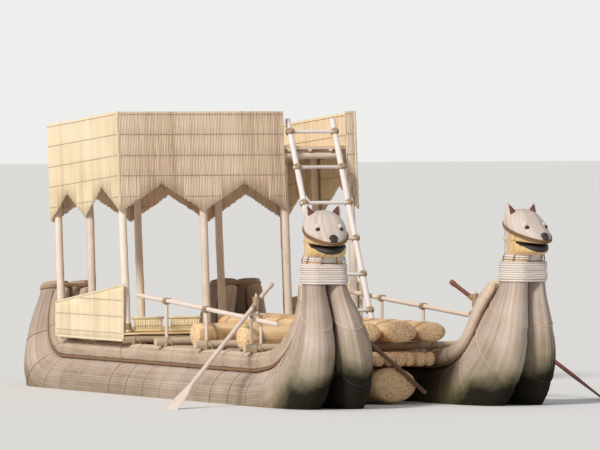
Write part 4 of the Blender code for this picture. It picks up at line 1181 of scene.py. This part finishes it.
# Ladder: two pale stiles from a deck beam up past the edge of the upper deck, with six
# rungs lashed across them.
LADDER_Y = (0.66, 1.21)
STILE_R, STILE_ROOM, STILE_ABOVE_DECK = 0.034, 0.035, 0.30
RUNGS, RUNG_R, RUNG_PAST_STILE = 6, 0.021, 0.035
FIRST_RUNG, LAST_RUNG_BELOW_TOP = 0.28, 0.15
RUNG_CORD = (0.030, 0.005)  # how far it stands out, radius
LADDER_WOOD = wood("ladder_wood", (0.54, 0.45, 0.41), (0.82, 0.74, 0.70), (0.92, 0.87, 0.85))
foot = np.array((BEAMS["ladder"], 0, BEAM_TOP + GAP))
run = lean((POST_R, 0, DECK_TOP)) - foot
reach_up = math.hypot(run[0], run[2])
slope = math.atan2(-run[0], run[2]) - math.asin(STILE_ROOM / reach_up)
climb = np.array((-math.sin(slope), 0, math.cos(slope)))
stile = reach_up + STILE_ABOVE_DECK
lashings, poles = Skin(), []
for y in LADDER_Y:
    poles.append(pole(foot + (0, y, 0) + climb * 0.004, foot + (0, y, 0) + climb * stile,
                      STILE_R, 12))
for height in np.linspace(FIRST_RUNG, stile - LAST_RUNG_BELOW_TOP, RUNGS):
    middle = foot + climb * height
    poles.append(pole(middle + (0, LADDER_Y[0] - RUNG_PAST_STILE, 0),
                      middle + (0, LADDER_Y[1] + RUNG_PAST_STILE, 0), RUNG_R, 10, 0.002))
    for y in LADDER_Y:
        crossing(lashings, middle + (0, y, 0), climb, (0, 1, 0), *RUNG_CORD)
gather(poles, "ladder_poles", [LADDER_WOOD], nodes=("ladder",))
lashings.write("lashings_ladder", [GRASS_ROPE], "rope")

# Handrails: a thin pole along each side from the cabin's front to the bow end of the
# deck, sloping down forward on two stanchions.
RAIL_Y, RAIL_HIGH, RAIL_LOW, RAIL_FRONT = 1.30, 1.08, 0.86, 2.46
RAIL_R, STANCHION_R = 0.026, 0.020
RAIL_WOOD = wood("rail_wood", (0.46, 0.35, 0.28), (0.72, 0.58, 0.48), (0.87, 0.75, 0.66))
rail_aft = WALL_FRONT + MAT_THICK
lashings = Skin()
for side, sign in SIDES:
    y = sign * RAIL_Y
    poles = [pole((rail_aft, y, RAIL_HIGH), (RAIL_FRONT, y, RAIL_LOW), RAIL_R, 12, 0.005)]
    for x in (BEAMS["ladder"], BEAMS["midship"]):
        h = np.interp(x, (rail_aft, RAIL_FRONT), (RAIL_HIGH, RAIL_LOW))
        poles.append(pole((x, y, ON_BEAMS), (x, y, h), STANCHION_R, 10, 0.002))
        crossing(lashings, (x, y, h), (1, 0, -0.06), (0, 0, 1), RAIL_R, 0.005)
    gather(poles, f"rail_poles_{side}", [RAIL_WOOD], nodes=(f"rail_{side}",))

# Oar crutches: two short legs on the forward beam with a bar across them, a round pad and
# the peg that the oar turns on.
CRUTCH_X, CRUTCH_TOP, PEG_TOP = BEAMS["oar"], 0.97, 1.17
BAR_R, BAR_HALF, LEG_R, LEG_OUT = 0.018, 0.073, 0.016, 0.055
BAR_H = CRUTCH_TOP - BAR_R
PAD_R, PAD_RISE, PEG_R, EDGE_WORN = 0.033, 0.013, 0.011, 0.003
LEG_CORD_DOWN, LEG_CORD = 0.026, {"radius": 0.017, "turns": 4, "width": 0.03, "size": 0.004}


def turned(x, y, low_end, high_end, radius, tone):
    """Short upright piece cut from round wood, with its edges taken off."""
    bpy.ops.object.select_all(action="DESELECT")
    bpy.ops.mesh.primitive_cylinder_add(
        vertices=20, radius=radius, depth=high_end - low_end,
        location=np.add((x, y, (low_end + high_end) / 2), MODEL_SHIFT))
    made = bpy.context.object
    bpy.ops.object.transform_apply(location=True, rotation=True, scale=True)
    edges = made.modifiers.new("edges", "BEVEL")
    edges.width, edges.segments, edges.angle_limit = EDGE_WORN, 2, math.radians(50)
    bpy.ops.object.modifier_apply(modifier=edges.name)
    bpy.ops.object.shade_smooth_by_angle(angle=math.radians(50))
    spread(made, 2 * (high_end - low_end), 2 * math.pi * radius, tone)
    return made


for side, sign in SIDES:
    y = sign * RAIL_Y
    poles = [pole((CRUTCH_X, y - BAR_HALF, BAR_H), (CRUTCH_X, y + BAR_HALF, BAR_H), BAR_R, 10,
                  0.001, 0.0),
             turned(CRUTCH_X, y, BAR_H, CRUTCH_TOP + PAD_RISE, PAD_R, 0.4),
             turned(CRUTCH_X, y, BAR_H, PEG_TOP, PEG_R, 0.6)]
    for leg in (y - LEG_OUT, y + LEG_OUT):
        poles.append(pole((CRUTCH_X, leg, ON_BEAMS), (CRUTCH_X, leg, BAR_H), LEG_R, 10, 0.001))
        wrap(lashings, (CRUTCH_X, leg, BAR_H - LEG_CORD_DOWN), UP, **LEG_CORD)
    gather(poles, f"crutch_poles_{side}", [POLE_WOOD], nodes=(f"crutch_{side}",))
lashings.write("lashings_rails", [GRASS_ROPE], "rope")

# Bow pole: one dark bare pole that leans across the float's fore end, from the starboard
# side of the deck bundles down to the float's port side.
BOW_POLE_R, BOW_POLE_OUT, BOW_POLE_HIGH, BOW_POLE_LOW = 0.026, 0.34, 0.68, 0.12
BOW_POLE_X = FLOAT_FORE + GAP + BOW_POLE_R
DARK_WOOD = wood("dark_wood", (0.08, 0.04, 0.025), (0.17, 0.09, 0.055), (0.30, 0.18, 0.11))
gather([pole((BOW_POLE_X, -BOW_POLE_OUT, BOW_POLE_HIGH), (BOW_POLE_X, BOW_POLE_OUT, BOW_POLE_LOW),
             BOW_POLE_R)], "pole_bow", [DARK_WOOD], nodes=("bow_pole",))

# Oars: a worn round shaft whose end is drawn out to a flat blade, and turns of rope round
# shaft and peg that hold the oar to its crutch.  Both are at the middle of their sweep.
OAR_AHEAD = math.radians(25)
SHAFT_R, LOOM, BLADE_START, BLADE_LENGTH = 0.0235, 0.34, 0.26, 0.52
BLADE_OUT, BLADE_BELOW_PIVOT = 1.26, 0.97
PAD_THICK, BOSS_HALF = 0.015, 0.082
BOSS_MIDDLE = CRUTCH_TOP + PAD_THICK + BOSS_HALF
GRIP = ((-0.014, 1.0), (-0.016, 1.28), (-0.055, 1.0), (-0.012, 0.75))  # step back, growth
GRIP_LENGTH = -sum(step for step, growth in GRIP)
PEG_CORD = {"radius": 0.030, "turns": 13, "width": 0.142, "size": 0.0058}
SHAFT_CORD = {"radius": 0.022, "turns": 6, "width": 0.05, "size": 0.005}
SHAFT_CORDS_AT = (-0.055, 0.060)
BLADE = [
    # share of the blade's length, half width, half thickness
    (0.10, 0.032, 0.021), (0.25, 0.055, 0.018), (0.42, 0.076, 0.015), (0.60, 0.084, 0.0135),
    (0.80, 0.085, 0.012), (0.94, 0.080, 0.010), (0.99, 0.070, 0.007),
]
OAR_WOOD = {
    "starboard": wood("oar_wood_pale", (0.44, 0.33, 0.27), (0.70, 0.57, 0.48),
                      (0.85, 0.74, 0.66)),
    "port": wood("oar_wood_red", (0.12, 0.04, 0.035), (0.26, 0.09, 0.07), (0.42, 0.20, 0.15)),
}


def carve_oar(length):
    """The oar upright on its grip's end: shaft up, then the blade, its flat facing y."""
    bpy.ops.object.select_all(action="DESELECT")
    bpy.ops.mesh.primitive_cylinder_add(vertices=16, radius=SHAFT_R, depth=length,
                                        location=(0, 0, length / 2))
    made = bpy.context.object
    bpy.ops.object.transform_apply(location=True, rotation=True, scale=True)
    bpy.ops.object.mode_set(mode="EDIT")
    bpy.ops.mesh.select_mode(type="VERT")
    pick_ring(made, Vector(), Vector(UP), length, 1e-4)
    reached, wide, thick = 0.0, SHAFT_R, SHAFT_R
    for share, next_wide, next_thick in BLADE:
        rise = (share - reached) * BLADE_LENGTH
        bpy.ops.mesh.extrude_region_move(TRANSFORM_OT_translate={"value": (0, 0, rise)})
        bpy.ops.transform.resize(value=(next_wide / wide, next_thick / thick, 1),
                                 center_override=(0, 0, length + share * BLADE_LENGTH))
        reached, wide, thick = share, next_wide, next_thick
    pick_ring(made, Vector(), Vector(UP), 0, 1e-4)
    for rise, grow in GRIP:
        bpy.ops.mesh.extrude_region_move(TRANSFORM_OT_translate={"value": (0, 0, rise)})
        bpy.ops.transform.resize(value=(grow, grow, 1), center_override=(0, 0, 0))
    bpy.ops.object.mode_set(mode="OBJECT")
    soften = made.modifiers.new("soften", "SUBSURF")
    soften.levels = soften.render_levels = 1
    bpy.ops.object.modifier_apply(modifier=soften.name)
    bpy.ops.object.shade_smooth()
    mesh = made.data
    x, y, z = np.array([mesh.vertices[loop.vertex_index].co for loop in mesh.loops]).T
    mesh.uv_layers.active.data.foreach_set("uv", np.stack([z, x + 0.4 * y], -1).ravel())
    even_tone(mesh, 0.5)
    return made


for side, sign in SIDES:
    out = np.array((math.sin(OAR_AHEAD), sign * math.cos(OAR_AHEAD), 0))
    pivot = np.array((CRUTCH_X, sign * RAIL_Y, BOSS_MIDDLE))
    blade_middle = pivot + out * BLADE_OUT - UP * BLADE_BELOW_PIVOT
    down = unit(blade_middle - pivot)
    level = unit(np.cross(UP, down))
    start = pivot - down * (LOOM - GRIP_LENGTH)
    oar = carve_oar(np.linalg.norm(blade_middle - down * BLADE_START - start))
    turn = np.eye(4)
    turn[:3, :3] = np.stack([level, np.cross(down, level), down], -1)
    turn[:3, 3] = start + MODEL_SHIFT
    oar.matrix_world = Matrix(turn)
    bpy.ops.object.transform_apply(location=True, rotation=True, scale=True)
    gather([oar], f"oar_skin_{side}", [OAR_WOOD[side]], f"oar_{side}", (f"oar_{side}",))
    cord = Skin()
    wrap(cord, pivot, UP, **PEG_CORD)
    for shift in SHAFT_CORDS_AT:
        wrap(cord, pivot + down * shift, down, **SHAFT_CORD)
    cord.write(f"oar_cord_{side}", [GRASS_ROPE], "rope", f"oar_{side}")

# Floor and backdrop: a plain pale plane at the height where the boat floats, and a world
# that is as pale where the camera sees it.
FLOOR_SIZE = 400
FLOOR_PALE = (0.80, 0.79, 0.77)
WORLD_LIGHT, WORLD_SEEN = (0.37, 0.38, 0.40), (0.86, 0.86, 0.85)
bpy.ops.object.select_all(action="DESELECT")
bpy.ops.mesh.primitive_plane_add(size=FLOOR_SIZE, location=(0, 0, MODEL_SHIFT[2]))
floor = bpy.context.object
floor.name = "floor"
bpy.ops.object.transform_apply(location=True, rotation=True, scale=True)
PALE = bpy.data.materials.new("floor_pale")
nodes = Nodes(PALE)
for key, value in (("Base Color", FLOOR_PALE), ("Roughness", 0.9)):
    nodes.feed(nodes.tree.nodes["Principled BSDF"].inputs[key], value)
floor.data.materials.append(PALE)
scene.world = bpy.data.worlds.new("studio")
nodes = Nodes(scene.world)
ray = nodes.add("ShaderNodeLightPath")
seen = nodes.limited(ray["Is Camera Ray"] + ray["Is Glossy Ray"] + ray["Is Transmission Ray"])
nodes.feed(nodes.tree.nodes["Background"].inputs["Color"],
           nodes.blend(seen, WORLD_LIGHT, WORLD_SEEN))

# Light: one low soft sun over the starboard bow, as in the photograph, with the world's
# pale light from all round in the shadows.
SUN_TRAVELS = Vector((-0.42, 0.80, -0.62))
bpy.ops.object.light_add(type="SUN", rotation=SUN_TRAVELS.to_track_quat("-Z", "Y").to_euler())
sun = bpy.context.object.data
sun.energy, sun.angle, sun.color = 2.7, math.radians(12), (1.0, 0.97, 0.92)

# Camera: as far off on the starboard bow as in the photograph and just above the upper
# deck, with a longer lens, so that the boat fills the picture.
CAMERA_PLACE = (73.379, -35.727, 3.77)
CAMERA_LOOKS = Vector((-0.89787, 0.43982, -0.01965))
bpy.ops.object.camera_add(location=CAMERA_PLACE,
                          rotation=CAMERA_LOOKS.to_track_quat("-Z", "Y").to_euler())
scene.camera = bpy.context.object
lens = scene.camera.data
lens.lens, lens.sensor_width, lens.clip_end = 451.29, 36, 600
